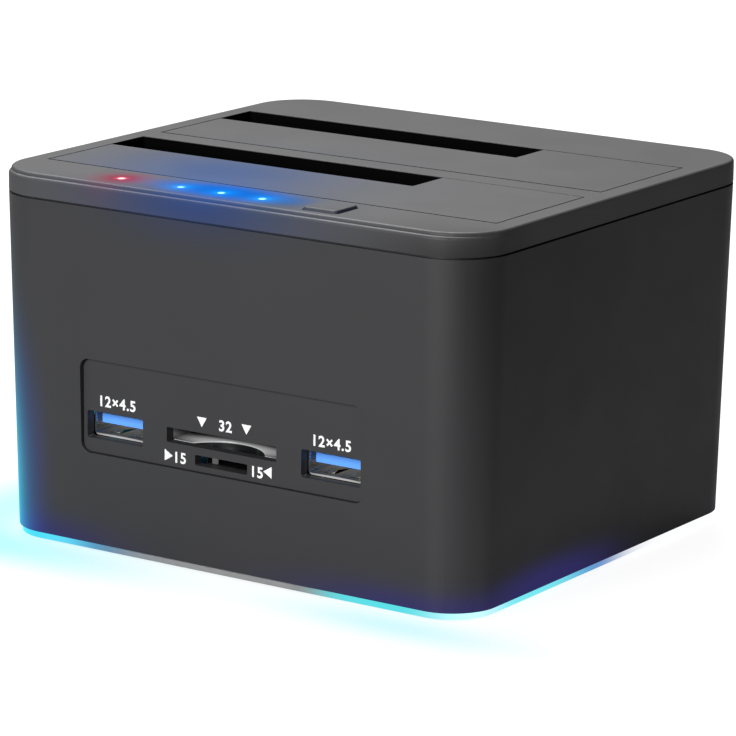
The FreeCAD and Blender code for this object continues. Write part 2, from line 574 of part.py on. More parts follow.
def indicator_board():
    """Slim board under the cover's front strip."""
    x0, x1, reach, thick = INDICATOR_BOARD
    front = Y_FRONT + WALL + SKIRT_WALL / 2
    body = box(x0, x1, front, LIGHT_Y + reach, Z_INDICATOR - thick, Z_INDICATOR)
    return cut(body, [tube_z(BOARD_SCREW_R + 0.2, x, LIGHT_Y, Z_INDICATOR - thick - 1, Z_INDICATOR + 1)
                      for x in INDICATOR_BOSS_X])


def indicator_lamps():
    """Surface lamps below the light pipes."""
    return [box(x - 1.6, x + 1.6, LIGHT_Y - 0.8, LIGHT_Y + 0.8, Z_INDICATOR, Z_INDICATOR + 0.9)
            for x in [POWER_LIGHT_X] + COPY_LIGHT_XS]


def copy_button():
    """Proud square key with a flange under the cover's plate and a stem onto the switch."""
    z1 = Z_TOP + BUTTON_PROUD
    key = slab(BUTTON_WIDTH, BUTTON_DEPTH, BUTTON_CORNER_R, Z_PLATE - 0.5, z1, BUTTON_X, LIGHT_Y)
    key = key.makeFillet(0.3, [e for e in key.Edges if e.BoundBox.ZMin > z1 - EPS])
    width, depth, thick = BUTTON_FLANGE
    flange = slab(width, depth, BUTTON_CORNER_R, Z_PLATE - 0.1 - thick, Z_PLATE - 0.1, BUTTON_X, LIGHT_Y)
    stem = tube_z(1.5, BUTTON_X, LIGHT_Y, SWITCH_TOP + 0.05, Z_PLATE - 0.5)
    return fuse([key, flange, stem])


TACT_BODY = 3.4
TACT_PLUNGER = 1.4
PLUNGER_R = 1.7
PLUNGER_PLAY = 0.08
SWITCH_TOP = Z_INDICATOR + TACT_BODY + TACT_PLUNGER


def tact_switch():
    """Square push switch with its steel lid."""
    z0 = Z_INDICATOR
    return fuse([slab(6.0, 6.0, 0.3, z0, z0 + TACT_BODY, BUTTON_X, LIGHT_Y)]).cut(
        tube_z(PLUNGER_R + PLUNGER_PLAY, BUTTON_X, LIGHT_Y, z0 + 0.8, z0 + TACT_BODY + 1))


def tact_plunger():
    """The push switch's round plunger, which travels with the key."""
    z0 = Z_INDICATOR + 0.8 + BUTTON_TRAVEL + 0.1
    return tube_z(PLUNGER_R, BUTTON_X, LIGHT_Y, z0, SWITCH_TOP)


# ---- port panel and front sockets ----------------------------------------------------------
def port_panel():
    """Sunk panel behind the housing's window, with openings for the ports and card slots."""
    z = Z_EDGE + (PANEL_LOW + PANEL_HIGH) / 2
    h = PANEL_HIGH - PANEL_LOW
    lean = DRAFT * (1 - PANEL_LOW / HOUSING_HEIGHT)
    wall_back = Y_FRONT + lean + WALL + 0.05
    back = Y_PANEL + PANEL_THICK
    face = slab_y(PANEL_WIDTH - 2 * PANEL_PLAY, h - 2 * PANEL_PLAY, PANEL_CORNER_R - PANEL_PLAY,
                  PORT_CENTRE, z, Y_PANEL, back)
    flange = slab_y(PANEL_WIDTH + 2 * PANEL_FLANGE, h + 2 * PANEL_FLANGE, PANEL_CORNER_R,
                    PORT_CENTRE, z, wall_back, back)
    hole_w, hole_h = PORT_SHELL[0] + 2 * PORT_HOLE_PLAY, PORT_SHELL[1] + 2 * PORT_HOLE_PLAY
    tools = [slab_y(hole_w, hole_h, 0.5, PORT_CENTRE + sx * PORT_X, Z_EDGE + PORT_LOW + PORT_SHELL[1] / 2,
                    Y_PANEL - 1, back + 1) for sx in (-1, 1)]
    for w, height, low in (CARD_SLOT, SMALL_CARD_SLOT):
        tools.append(slab_y(w, height, 0.25, PORT_CENTRE, Z_EDGE + low + height / 2, Y_PANEL - 1, back + 1))
    return cut(fuse([face, flange]), tools)


def port_shell(x):
    """Folded sheet-metal shell of a front port with sprung fingers in its floor."""
    w, h, depth, t = PORT_SHELL
    z = Z_EDGE + PORT_LOW + h / 2
    y0, y1 = Y_SOCKETS, Y_SOCKETS + depth
    body = slab_y(w, h, 0.9, x, z, y0, y1).cut(slab_y(w - 2 * t, h - 2 * t, 0.6, x, z, y0 - 1, y1 - t))
    floor_z = z - h / 2
    fingers = []
    for side in (-1, 1):
        fx = x + side * 3.0
        body = body.cut(box(fx - 1.3, fx + 1.3, y0 + 1.6, y0 + 8.6, floor_z - 0.5, floor_z + t + 0.1))
        body = body.cut(box(fx - 1.3, fx + 1.3, y0 + 1.6, y0 + 8.6, floor_z + h - t - 0.1, floor_z + h + 0.5))
        fingers.append(profile_x([(y0 + 8.7, floor_z), (y0 + 8.7, floor_z + t), (y0 + 3.4, floor_z + t + 0.75),
                                  (y0 + 2.2, floor_z + t + 0.15), (y0 + 2.2, floor_z + 0.15),
                                  (y0 + 3.4, floor_z + 0.75)], fx - 0.85, fx + 0.85))
        top = floor_z + h
        fingers.append(profile_x([(y0 + 8.7, top), (y0 + 8.7, top - t), (y0 + 3.4, top - t - 0.3),
                                  (y0 + 2.2, top - t - 0.05), (y0 + 2.2, top - 0.05),
                                  (y0 + 3.4, top - 0.3)], fx - 0.85, fx + 0.85))
    return fuse([body] + fingers)


def port_tongue(x):
    """Coloured tongue and back block of a front port."""
    w, h, depth, t = PORT_SHELL
    z0 = Z_EDGE + PORT_LOW
    top = z0 + h - t
    y0 = Y_SOCKETS + 1.0
    y_block = Y_SOCKETS + 9.4
    tongue = box(x - 5.55, x + 5.55, y0, y_block + 0.2, top - 0.7 - 1.84, top - 0.7)
    block = slab_y(w - 2 * t - 0.04, h - 2 * t - 0.04, 0.6, x, z0 + h / 2, y_block, Y_SOCKETS + depth - t - 0.02)
    return fuse([tongue, block])


def port_contacts(x):
    """Nine contact strips under the port's tongue."""
    t = PORT_SHELL[3]
    under = Z_EDGE + PORT_LOW + PORT_SHELL[1] - t - 0.7 - 1.84
    y0 = Y_SOCKETS + 1.0
    front = [box(x + (i - 1.5) * 2.3 - 0.5, x + (i - 1.5) * 2.3 + 0.5, y0 + 3.2, y0 + 8.2, under - 0.25, under)
             for i in range(4)]
    return front + [box(x + (i - 2) * 1.9 - 0.3, x + (i - 2) * 1.9 + 0.3, y0 + 0.3, y0 + 2.2, under - 0.12, under)
                    for i in range(5)]


def arc_notch(half, depth, y, z0, z1):
    """A shallow round bite at the row's middle, as wide as 2 half at y and as deep as depth."""
    r = (half * half + depth * depth) / (2 * depth)
    return tube_z(r, PORT_CENTRE, y + depth - r, z0, z1)


def card_socket_sheet():
    """Folded metal sheet of the large card socket: floor with a finger bite, side walls and lid."""
    w, h, low = CARD_SLOT
    z0 = Z_PORT_BOARD + PORT_BOARD_THICK
    z1 = Z_EDGE + low + h + SHEET
    half = w / 2 + 0.6
    y1 = Y_SOCKETS + CARD_SOCKET_DEPTH
    a, b = PORT_CENTRE - half, PORT_CENTRE + half
    body = box(a, b, Y_SOCKETS, y1, z0, z1).cut(
        box(a + SHEET, b - SHEET, Y_SOCKETS - 1, y1 + 1, z0 + SHEET, z1 - SHEET))
    bite = arc_notch(CARD_NOTCH_HALF, CARD_NOTCH_DEPTH, Y_SOCKETS, z0 - 1, z0 + SHEET + 0.05)
    return cut(body, [bite])


def card_socket_block():
    """Moulded rear block and guide rails of the large card socket."""
    w, h, low = CARD_SLOT
    z0 = Z_PORT_BOARD + PORT_BOARD_THICK + SHEET + 0.02
    z1 = Z_EDGE + low + h - 0.02
    half = w / 2 + 0.6 - SHEET - 0.02
    y1 = Y_SOCKETS + CARD_SOCKET_DEPTH
    low, high = PORT_CENTRE - half, PORT_CENTRE + half
    rails = [box(a, b, Y_SOCKETS + 5.5, y1 - 4, z0, z1) for a, b in ((low, low + 0.9), (high - 0.9, high))]
    return fuse([box(low, high, y1 - 4.2, y1 - 0.1, z0, z1)] + rails)


def card_contacts():
    """Nine sprung contacts in the large card socket."""
    z = Z_PORT_BOARD + PORT_BOARD_THICK + SHEET
    y1 = Y_SOCKETS + CARD_SOCKET_DEPTH - 4.2
    centres = [PORT_CENTRE + (i - 4) * 2.5 for i in range(9)]
    return [profile_x([(y1, z + 0.5), (y1, z + 0.7), (y1 - 4.5, z + 1.0), (y1 - 5.6, z + 0.6),
                       (y1 - 5.6, z + 0.4), (y1 - 4.5, z + 0.8)], x - 0.45, x + 0.45) for x in centres]


def small_card_socket():
    """Moulded frame of the small card socket, under the port board."""
    w, h, low = SMALL_CARD_SLOT
    half = w / 2 - 0.1
    z0 = Z_EDGE + low - 2 * SHEET
    y0 = Y_SOCKETS + SMALL_CARD_SETBACK
    y1 = y0 + SMALL_CARD_SOCKET_DEPTH
    body = box(PORT_CENTRE - half, PORT_CENTRE + half, y0, y1, z0, Z_PORT_BOARD)
    return body.cut(box(PORT_CENTRE - half + SHEET, PORT_CENTRE + half - SHEET, y0 - 1, y1 - 1.5,
                        z0 + SHEET, Z_PORT_BOARD - SHEET))


def small_card_contacts():
    """Eight contacts of the small card socket, and the metal tab that feels for a card."""
    z = Z_PORT_BOARD - SHEET - 0.45
    y1 = Y_SOCKETS + SMALL_CARD_SETBACK + SMALL_CARD_SOCKET_DEPTH - 1.5
    centres = [PORT_CENTRE + (i - 3.5) * 1.1 for i in range(8)]
    found = [box(x - 0.3, x + 0.3, y1 - 5.0, y1, z - 0.2, z) for x in centres]
    w, h, low = SMALL_CARD_SLOT
    width, thick, place = CARD_TAB
    x = PORT_CENTRE - w / 2 + place
    y0 = Y_SOCKETS + SMALL_CARD_SETBACK + 0.3
    found.append(box(x - width / 2, x + width / 2, y0, y0 + thick, Z_EDGE + low - SHEET, Z_PORT_BOARD - SHEET))
    return found


def port_board():
    """Board behind the port panel, notched round the ports that are sunk in it."""
    y0, y1 = PORT_BOARD_FRONT, PORT_BOARD_FRONT + PORT_BOARD_DEPTH
    half = PORT_BOARD_WIDTH / 2
    z0, z1 = Z_PORT_BOARD, Z_PORT_BOARD + PORT_BOARD_THICK
    w = PORT_SHELL[0] / 2 + 0.15
    tools = [box(x - w, x + w, y0 - 1, Y_SOCKETS + PORT_SHELL[2] + 0.15, z0 - 1, z1 + 1)
             for x in (PORT_CENTRE - PORT_X, PORT_CENTRE + PORT_X)]
    tools.append(arc_notch(CARD_NOTCH_HALF + 0.4, CARD_NOTCH_DEPTH + 0.2, Y_SOCKETS, z0 - 1, z1 + 1))
    tools += [tube_z(BOARD_SCREW_R + 0.2, x, y, z0 - 1, z1 + 1) for x, y in PORT_SCREWS]
    return cut(slab(2 * half, y1 - y0, 1.0, z0, z1, 0, (y0 + y1) / 2), tools)


def board_link():
    """Stacking header that joins the port board to the main board."""
    y = PORT_BOARD_FRONT + PORT_BOARD_DEPTH - 3.2
    return box(-13.0, 13.0, y - 2.5, y + 2.5, Z_PORT_BOARD + PORT_BOARD_THICK, Z_MAIN_BOARD)


def port_board_chips():
    """Hub controller and small parts on the port board."""
    z = Z_PORT_BOARD + PORT_BOARD_THICK
    y = PORT_BOARD_FRONT + 22.0
    found = [box(sx * 25 - 3.5, sx * 25 + 3.5, y - 3.5, y + 3.5, z, z + 1.0) for sx in (-1, 1)]
    found += [box(sx * 17 - 0.8, sx * 17 + 0.8, y + k * 2.6 - 0.5, y + k * 2.6 + 0.5, z, z + 0.8)
              for sx in (-1, 1) for k in (-1, 0, 1)]
    return found


# ---- cradle, main board, drive connectors --------------------------------------------------
def drive_cradle():
    """Frame with two open wells that guides the drives, with ears on the housing's posts."""
    y0 = BAY_FRONTS["front"] - RIM_WALL
    y1 = BAY_FRONTS["rear"] + BAY_DEPTH + RIM_WALL
    half = BAY_HALF + RIM_WALL
    parts = [box(-half, half, y0, y1, Z_CRADLE, Z_CRADLE_TOP)]
    for x, y in POSTS:
        parts.append(tube_z(POST_R + 0.6, x, y, Z_CRADLE, Z_FLOOR))
        ys = sorted((y, y0 + 1 if y < 0 else y1 - 1))
        parts.append(box(x - POST_R - 0.6, x + POST_R + 0.6, ys[0], ys[1], Z_CRADLE, Z_FLOOR))
    parts += [tube_z(BOARD_BOSS_R, x, y, Z_MAIN_TOP, Z_CRADLE + 0.5) for x, y in MAIN_SCREWS]
    tools = []
    for y in BAY_FRONTS.values():
        tools.append(box(-BAY_HALF, BAY_HALF, y, y + BAY_DEPTH, Z_FLOOR, Z_CRADLE_TOP + 1))
        cy = y + BAY_DEPTH - CONNECTOR_SETBACK
        hx, hy = CONNECTOR[0] / 2 + CONNECTOR_PLAY, CONNECTOR[1] / 2 + CONNECTOR_PLAY
        tools.append(box(CONNECTOR_X - hx, CONNECTOR_X + hx, cy - hy, cy + hy, Z_CRADLE - 1, Z_FLOOR + 1))
        for x in stop_places():
            tools.append(box(x - STOP_WIDTH / 2 - 0.6, x + STOP_WIDTH / 2 + 0.6, y + BAY_DEPTH - EPS,
                             y + BAY_DEPTH + RIM_WALL + EPS, PIVOT_Z - 11, Z_CRADLE_TOP + 1))
        pivot = y + PIVOT_SETBACK
        for sx in (-1, 1):
            a, b = sorted((sx * (BAY_HALF + 0.1), sx * (half - 0.05)))
            parts.append(box(a, b, pivot - PIN_R + 0.1, pivot + PIN_R - 0.1, Z_CRADLE_TOP - 1, PIVOT_Z - PIN_R - 0.05))
    gap_y = BAY_FRONTS["front"] + BAY_DEPTH + RIM_WALL
    tools.append(box(-half + 4, half - 4, gap_y, BAY_FRONTS["rear"] - RIM_WALL, Z_FLOOR, Z_CRADLE_TOP + 1))
    tools += [tube_z(SCREW_R + 0.25, x, y, Z_CRADLE - 1, Z_FLOOR + 1) for x, y in POSTS]
    body = cut(fuse(parts), tools).common(leaning_block(Z_EDGE, Z_RIM + COVER_EDGE, WALL + CRADLE_CLEARANCE))
    return cut(body, [tube_z(BOARD_SCREW_R, x, y, Z_MAIN_TOP - 1, Z_CRADLE + 1.0) for x, y in MAIN_SCREWS])


def main_board():
    """Main board, hung under the cradle."""
    w, d = 2 * MAIN_BOARD_HALF, MAIN_BOARD_BACK - MAIN_BOARD_FRONT
    body = slab(w, d, 1.0, Z_MAIN_BOARD, Z_MAIN_TOP, 0, (MAIN_BOARD_BACK + MAIN_BOARD_FRONT) / 2)
    return cut(body, [tube_z(BOARD_SCREW_R + 0.2, x, y, Z_MAIN_BOARD - 1, Z_MAIN_TOP + 1) for x, y in MAIN_SCREWS])


def blade_slots(front):
    """The two blade slots of a drive connector: centre x, length, pins."""
    signal = SIGNAL_PINS * PIN_PITCH + 1.6
    power = POWER_PINS * PIN_PITCH + 1.6
    gap = 2.0
    left = CONNECTOR_X - (signal + power + gap) / 2
    y = front + BAY_DEPTH - CONNECTOR_SETBACK
    return ((left + power / 2, power, POWER_PINS, y), (left + power + gap + signal / 2, signal, SIGNAL_PINS, y))


def drive_connector(front):
    """Upright drive connector with a signal slot, a power slot and raised end guides."""
    length, depth, height = CONNECTOR
    y = front + BAY_DEPTH - CONNECTOR_SETBACK
    z1 = Z_MAIN_TOP + height
    body = slab(length, depth, 0.6, Z_MAIN_TOP, z1, CONNECTOR_X, y)
    tools = [box(x - w / 2, x + w / 2, cy - BLADE_SLOT / 2, cy + BLADE_SLOT / 2, z1 - BLADE_SLOT_DEPTH, z1 + 1)
             for x, w, n, cy in blade_slots(front)]
    for sx in (-1, 1):
        x = CONNECTOR_X + sx * (length / 2)
        a, b = sorted((x + sx * 1, x - sx * 2.2))
        tools.append(box(a, b, y - depth, y - depth / 2 + 1.4, z1 - 3.5, z1 + 1))
    return cut(body, tools)


def drive_contacts(front):
    """Gold contacts standing in a drive connector's slots."""
    z1 = Z_MAIN_TOP + CONNECTOR[2]
    found = []
    for x, w, n, y in blade_slots(front):
        for i in range(n):
            cx = x + (i - (n - 1) / 2) * PIN_PITCH
            found.append(box(cx - 0.3, cx + 0.3, y + BLADE_SLOT / 2 - 0.3, y + BLADE_SLOT / 2,
                             z1 - BLADE_SLOT_DEPTH, z1 - 0.6))
    return found


def main_board_chips():
    """Bridge controller, memory and regulator packages under the main board."""
    z = Z_MAIN_BOARD
    y = BAY_FRONTS["rear"]
    found = [box(-7, 7, y + 6, y + 20, z - 1.4, z), box(-22, -17, y + 8, y + 12, z - 1.2, z),
             box(17, 23.5, y + 6, y + 12.5, z - 1.6, z), box(17, 23.5, y + 16, y + 22.5, z - 1.6, z)]
    found += [box(-24.5 + i * 3.2, -23 + i * 3.2, y + 22, y + 22.9, z - 0.8, z) for i in range(6)]
    return found


def capacitors():
    """Upright electrolytic capacitors beside the power jack."""
    y = BAY_FRONTS["rear"] + BAY_DEPTH + RIM_WALL + 4.6
    return [tube_z(3.15, x, y, Z_MAIN_TOP, Z_MAIN_TOP + 8.0) for x in (22.0, -4.5)]


def board_screws(places, z, length, up):
    """Small screws of one board."""
    return [screw(x, y, z, length, BOARD_SCREW_R, BOARD_SCREW_HEAD_R, BOARD_SCREW_HEAD, up) for x, y in places]


# ---- rear sockets --------------------------------------------------------------------------
def rear_face(z):
    """Y of the housing's rear face at a height, less the sockets' setback."""
    return Y_BACK - DRAFT * (Z_RIM - z) / HOUSING_HEIGHT - REAR_SETBACK


def power_jack():
    """Barrel power socket with a round collar in the rear wall."""
    w, h, depth = JACK
    z = Z_MAIN_TOP + h / 2
    y1 = rear_face(z)
    inner = MAIN_BOARD_BACK - 0.4
    body = fuse([slab_y(w, h, 0.8, JACK_X, z, inner - depth, inner), rod_y(JACK_COLLAR_R, JACK_X, z, inner - 1, y1)])
    return body.cut(rod_y(JACK_BORE_R, JACK_X, z, y1 - 10, y1 + 1))


def power_jack_pin():
    """Centre pin of the power socket."""
    z = Z_MAIN_TOP + JACK[1] / 2
    y1 = rear_face(z)
    pin = rod_y(JACK_PIN_R, JACK_X, z, y1 - 10, y1 - 1.2)
    return pin.makeFillet(0.5, [e for e in pin.Edges if e.BoundBox.YMin > y1 - 1.2 - EPS])


def host_port_shell():
    """Metal shell of the square computer port."""
    w, h, depth = HOST_PORT
    z = Z_MAIN_TOP + h / 2
    y1 = rear_face(z)
    return slab_y(w, h, 0.5, HOST_PORT_X, z, y1 - depth, y1).cut(
        slab_y(w - 1.0, h - 1.0, 0.3, HOST_PORT_X, z, y1 - depth + 0.5, y1 + 1))


def host_port_block():
    """Moulded inside of the computer port: a stepped mouth round two tongues."""
    w, h, depth = HOST_PORT
    z0 = Z_MAIN_TOP
    z = z0 + h / 2
    y1 = rear_face(z)
    x = HOST_PORT_X
    body = slab_y(w - 1.04, h - 1.04, 0.3, x, z, y1 - depth + 0.52, y1 - 0.3)
    mouth = [box(x - 4.2, x + 4.2, y1 - 9.5, y1 + 1, z0 + 0.95, z0 + 7.0),
             box(x - 2.9, x + 2.9, y1 - 9.5, y1 + 1, z0 + 6.9, z0 + 9.7)]
    tongues = [box(x - 2.8, x + 2.8, y1 - 9.6, y1 - 1.2, z0 + 2.5, z0 + 5.5),
               box(x - 2.2, x + 2.2, y1 - 9.6, y1 - 1.2, z0 + 7.7, z0 + 8.7)]
    return fuse([cut(body, mouth)] + tongues)


def switch_frame():
    """Bezel and body of the rocker switch, set in the rear wall."""
    w, h, depth = SWITCH
    z = Z_MAIN_TOP + h / 2
    y1 = rear_face(z)
    return slab_y(w, h, 1.0, SWITCH_X, z, y1 - depth, y1).cut(
        box(SWITCH_X - w / 2 + 1.8, SWITCH_X + w / 2 - 1.8, y1 - 6.5, y1 + 1, z - h / 2 + 1.8, z + h / 2 - 1.8))


def switch_pivot():
    """Point on the rocker's axis, which is upright."""
    z = Z_MAIN_TOP + SWITCH[1] / 2
    return V(SWITCH_X, rear_face(z) - 3.2, z)


def rocker():
    """Rocker key of the power switch, tipped to its off side."""
    w, h, depth = SWITCH
    p = switch_pivot()
    hw, hh = w / 2 - 2.4, h / 2 - 2.0
    face = 3.1
    points = [(-hw, face + 0.5), (0, face - 0.35), (hw, face + 0.5), (hw - 1.0, -0.6), (0, -2.2), (-hw + 1.0, -0.6)]
    corners = [V(p.x + a, p.y + b, p.z - hh) for a, b in points]
    key = Part.Face(Part.makePolygon(corners + corners[:1])).extrude(V(0, 0, 2 * hh))
    pegs = Part.makeCylinder(0.6, h - 3.6 + 2 * 0.5, V(p.x, p.y, p.z - h / 2 + 1.8 - 0.5))
    key = key.fuse(pegs)
    key.rotate(p, V(0, 0, 1), SWITCH_TILT)
    return key


def switch_frame_with_seats():
    """The switch's frame with round seats for the rocker's pegs."""
    p = switch_pivot()
    h = SWITCH[1]
    seat = Part.makeCylinder(0.65, h - 3.6 + 2 * 0.6, V(p.x, p.y, p.z - h / 2 + 1.8 - 0.6))
    return switch_frame().cut(seat)


# ---- inner leads ---------------------------------------------------------------------------
def flat_lead(points, radius, x0, x1, thick):
    """A flat lead of even thickness along (y, z) points, with one round bend at the middle point."""
    a, b, c = [V(0, y, z) for y, z in points]
    u, v = (b - a).normalize(), (c - b).normalize()
    n1, n2 = V(0, -u.z, u.y), V(0, -v.z, v.y)
    turn = math.copysign(1, u.y * v.z - u.z * v.y)
    p, q = b - u * radius, b + v * radius
    centre = p + n1 * (turn * radius)
    outline = []
    for off in (thick / 2, -thick / 2):
        mid = centre + (b - centre).normalize() * (radius - turn * off)
        outline.append((a + n1 * off, p + n1 * off, mid, q + n2 * off, c + n2 * off))
    (a1, p1, m1, q1, c1), (a2, p2, m2, q2, c2) = outline
    edges = [Part.LineSegment(a1, p1), Part.Arc(p1, m1, q1), Part.LineSegment(q1, c1), Part.LineSegment(c1, c2),
             Part.LineSegment(c2, q2), Part.Arc(q2, m2, p2), Part.LineSegment(p2, a2), Part.LineSegment(a2, a1)]
    face = Part.Face(Part.Wire([e.toShape() for e in edges]))
    lead = face.extrude(V(x1 - x0, 0, 0))
    lead.translate(V(x0, 0, 0))
    return lead


LEAD_X = (-24.0, -16.0)
LEAD_PLUG = 1.8
Z_LEAD = Z_MAIN_TOP + 1.0


def indicator_lead():
    """Flat lead from the indicator board down to the main board's front edge."""
    z0 = Z_INDICATOR - INDICATOR_BOARD[3] - LEAD_PLUG
    return flat_lead([(LIGHT_Y, z0), (LIGHT_Y, Z_LEAD), (MAIN_BOARD_FRONT + 0.4, Z_LEAD)], 4.5,
                     LEAD_X[0] + 0.5, LEAD_X[1] - 0.5, 0.4)


def lead_sockets():
    """Plastic sockets at the ends of the indicator lead."""
    top = Z_INDICATOR - INDICATOR_BOARD[3]
    return [box(LEAD_X[0], LEAD_X[1], LIGHT_Y - 1.4, LIGHT_Y + 1.4, top - LEAD_PLUG, top),
            box(LEAD_X[0], LEAD_X[1], MAIN_BOARD_FRONT + 0.4, MAIN_BOARD_FRONT + 3.6, Z_MAIN_TOP, Z_MAIN_TOP + 2.0)]


def glow_lead():
    """Short upright lead from the glow board to the port board's underside."""
    y = Y_FRONT + DRAFT + BASE_INSET + GLOW_BOARD_WIDTH / 2 + 0.4
    z0, z1 = Z_BASE_TOP + GLOW_BOARD_THICK, Z_PORT_BOARD
    return flat_lead([(y, z0), (y, z1 - 6), (y + 4.5, z1)], 3.0, 14.5, 17.0, 0.9).common(
        box(10, 20, y - 20, y + 20, z0, z1))


# ---- the list of nodes ---------------------------------------------------------------------
def nodes():
    """Every node's name with its solid or list of solids."""
    seat_low = Z_BASE + SCREW_HEAD
    made = {
        "main_housing": main_housing(), "top_cover": top_cover(), "base_plate": base_plate(),
        "light_ring": light_ring(), "rubber_feet": rubber_feet(),
        "glow_board": glow_board(), "glow_lamps": glow_lamps(), "glow_lead": glow_lead(),
        "base_screws": [screw(x, y, seat_low, SCREW_LENGTH, SCREW_R, SCREW_HEAD_R, SCREW_HEAD - 0.1, True)
                        for x, y in POSTS],
        "cradle_screws": [screw(x, y, Z_FLOOR, SCREW_LENGTH, SCREW_R, SCREW_HEAD_R, SCREW_HEAD, False)
                          for x, y in POSTS],
        "main_board_screws": board_screws(MAIN_SCREWS, Z_MAIN_BOARD, 4.4, True),
        "port_board_screws": board_screws(PORT_SCREWS, Z_PORT_BOARD + PORT_BOARD_THICK, 5.5, False),
        "indicator_board_screws": board_screws([(x, LIGHT_Y) for x in INDICATOR_BOSS_X],
                                               Z_INDICATOR - INDICATOR_BOARD[3], 5.5, True),
        "power_light_pipe": light_pipe(POWER_LIGHT_X),
        "copy_light_pipes": [light_pipe(x) for x in COPY_LIGHT_XS],
        "indicator_board": indicator_board(), "indicator_lamps": indicator_lamps(),
        "copy_button": copy_button(), "button_switch": tact_switch(), "button_plunger": tact_plunger(),
        "port_panel": port_panel(),
        "card_socket_sheet": card_socket_sheet(), "card_socket_block": card_socket_block(),
        "card_contacts": card_contacts(), "small_card_socket": small_card_socket(),
        "small_card_contacts": small_card_contacts(),
        "port_board": port_board(), "port_board_chips": port_board_chips(), "board_link": board_link(),
        "drive_cradle": drive_cradle(), "main_board": main_board(), "main_board_chips": main_board_chips(),
        "capacitors": capacitors(), "power_jack": power_jack(), "power_jack_pin": power_jack_pin(),
        "host_port_shell": host_port_shell(), "host_port_block": host_port_block(),
        "power_switch_frame": switch_frame_with_seats(), "power_rocker": rocker(),
        "indicator_lead": indicator_lead(), "lead_sockets": lead_sockets(),
    }
    for side, x in (("left", PORT_CENTRE - PORT_X), ("right", PORT_CENTRE + PORT_X)):
        made["port_shell_" + side] = port_shell(x)
        made["port_tongue_" + side] = port_tongue(x)
        made["port_contacts_" + side] = port_contacts(x)
    for bay, front in BAY_FRONTS.items():
        made["flap_" + bay] = flap(front)
        made["flap_pin_" + bay] = flap_pin(front)
        made["flap_spring_" + bay] = flap_spring(front)
        made["drive_connector_" + bay] = drive_connector(front)
        made["drive_contacts_" + bay] = drive_contacts(front)
    return made


def main():
    """Builds every node and writes its STEP file."""
    os.makedirs("parts", exist_ok=True)
    for name, made in nodes().items():
        solids = [s for shape in (made if isinstance(made, list) else [made]) for s in shape.Solids]
        shape = solids[0] if len(solids) == 1 else Part.makeCompound(solids)
        expected = len(made) if isinstance(made, list) else 1
        if len(solids) != expected or not all(s.isValid() for s in solids):
            print("check", name, "solids", len(solids), "expected", expected, [s.isValid() for s in solids])
        shape.exportStep("parts/" + name + ".step")


main()
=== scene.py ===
"""Looks of a twin-bay drive duplicator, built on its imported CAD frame.

Each sub-assembly is a dataclass that holds its own sizes. Lengths are millimetres, and are turned
into metres where a mesh or a material is made. Colours are in linear light.
"""

import json
import logging
import math
from dataclasses import dataclass
from enum import Enum
from typing import Any, Iterable, Sequence

import bmesh
import bpy
from bmesh.types import BMesh
from bpy.types import Material, Mesh, Node, NodeSocket, Object
from mathutils import Matrix, Vector
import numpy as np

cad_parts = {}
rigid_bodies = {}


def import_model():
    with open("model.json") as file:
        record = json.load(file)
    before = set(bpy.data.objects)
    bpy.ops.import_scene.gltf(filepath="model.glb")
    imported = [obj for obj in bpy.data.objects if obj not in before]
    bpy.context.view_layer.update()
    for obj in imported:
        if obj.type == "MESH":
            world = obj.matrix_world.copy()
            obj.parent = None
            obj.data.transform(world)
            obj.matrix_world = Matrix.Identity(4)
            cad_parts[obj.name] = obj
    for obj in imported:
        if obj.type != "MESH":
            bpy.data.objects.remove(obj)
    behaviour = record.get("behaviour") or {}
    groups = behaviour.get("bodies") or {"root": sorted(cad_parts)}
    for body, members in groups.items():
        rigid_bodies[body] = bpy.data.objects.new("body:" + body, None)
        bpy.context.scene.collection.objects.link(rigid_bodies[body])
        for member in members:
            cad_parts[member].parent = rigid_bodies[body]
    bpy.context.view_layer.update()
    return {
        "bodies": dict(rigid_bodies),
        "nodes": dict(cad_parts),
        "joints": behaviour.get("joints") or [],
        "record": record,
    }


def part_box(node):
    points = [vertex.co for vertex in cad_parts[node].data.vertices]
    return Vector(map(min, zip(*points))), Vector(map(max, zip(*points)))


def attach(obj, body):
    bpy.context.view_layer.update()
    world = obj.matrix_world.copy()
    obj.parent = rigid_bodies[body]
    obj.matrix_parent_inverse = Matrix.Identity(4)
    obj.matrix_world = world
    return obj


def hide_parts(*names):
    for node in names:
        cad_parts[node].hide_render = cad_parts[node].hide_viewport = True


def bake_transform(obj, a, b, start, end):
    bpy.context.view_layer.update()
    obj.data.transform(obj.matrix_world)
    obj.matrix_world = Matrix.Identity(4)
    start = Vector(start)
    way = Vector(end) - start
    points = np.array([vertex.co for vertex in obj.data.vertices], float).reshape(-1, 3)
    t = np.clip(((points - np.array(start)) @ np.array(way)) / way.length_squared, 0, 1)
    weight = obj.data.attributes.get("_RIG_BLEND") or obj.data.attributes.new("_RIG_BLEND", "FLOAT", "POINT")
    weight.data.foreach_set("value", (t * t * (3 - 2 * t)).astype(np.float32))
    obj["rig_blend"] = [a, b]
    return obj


Point = tuple[float, float, float]
Colour = tuple[float, float, float]
Row = tuple[Any, ...]

LOG = logging.getLogger("duplicator")
MM = 0.001
DOCK = "dock"
BAYS = ("front", "rear")
SIDES = ("left", "right")
UPRIGHT: Point = (0.0, 0.0, 0.0)

TOP = 73.9
LAMP_Y = -44.5
POWER_X = -28.3
COPY_XS = (-14.2, -4.75, 4.7)
BAY_Y = (-37.5, -0.7)
BAY_HALF = 52.0
BAY_DEPTH = 31.2
SLOT_END = 20.4
PORT_XS = (-26.2, 24.2)

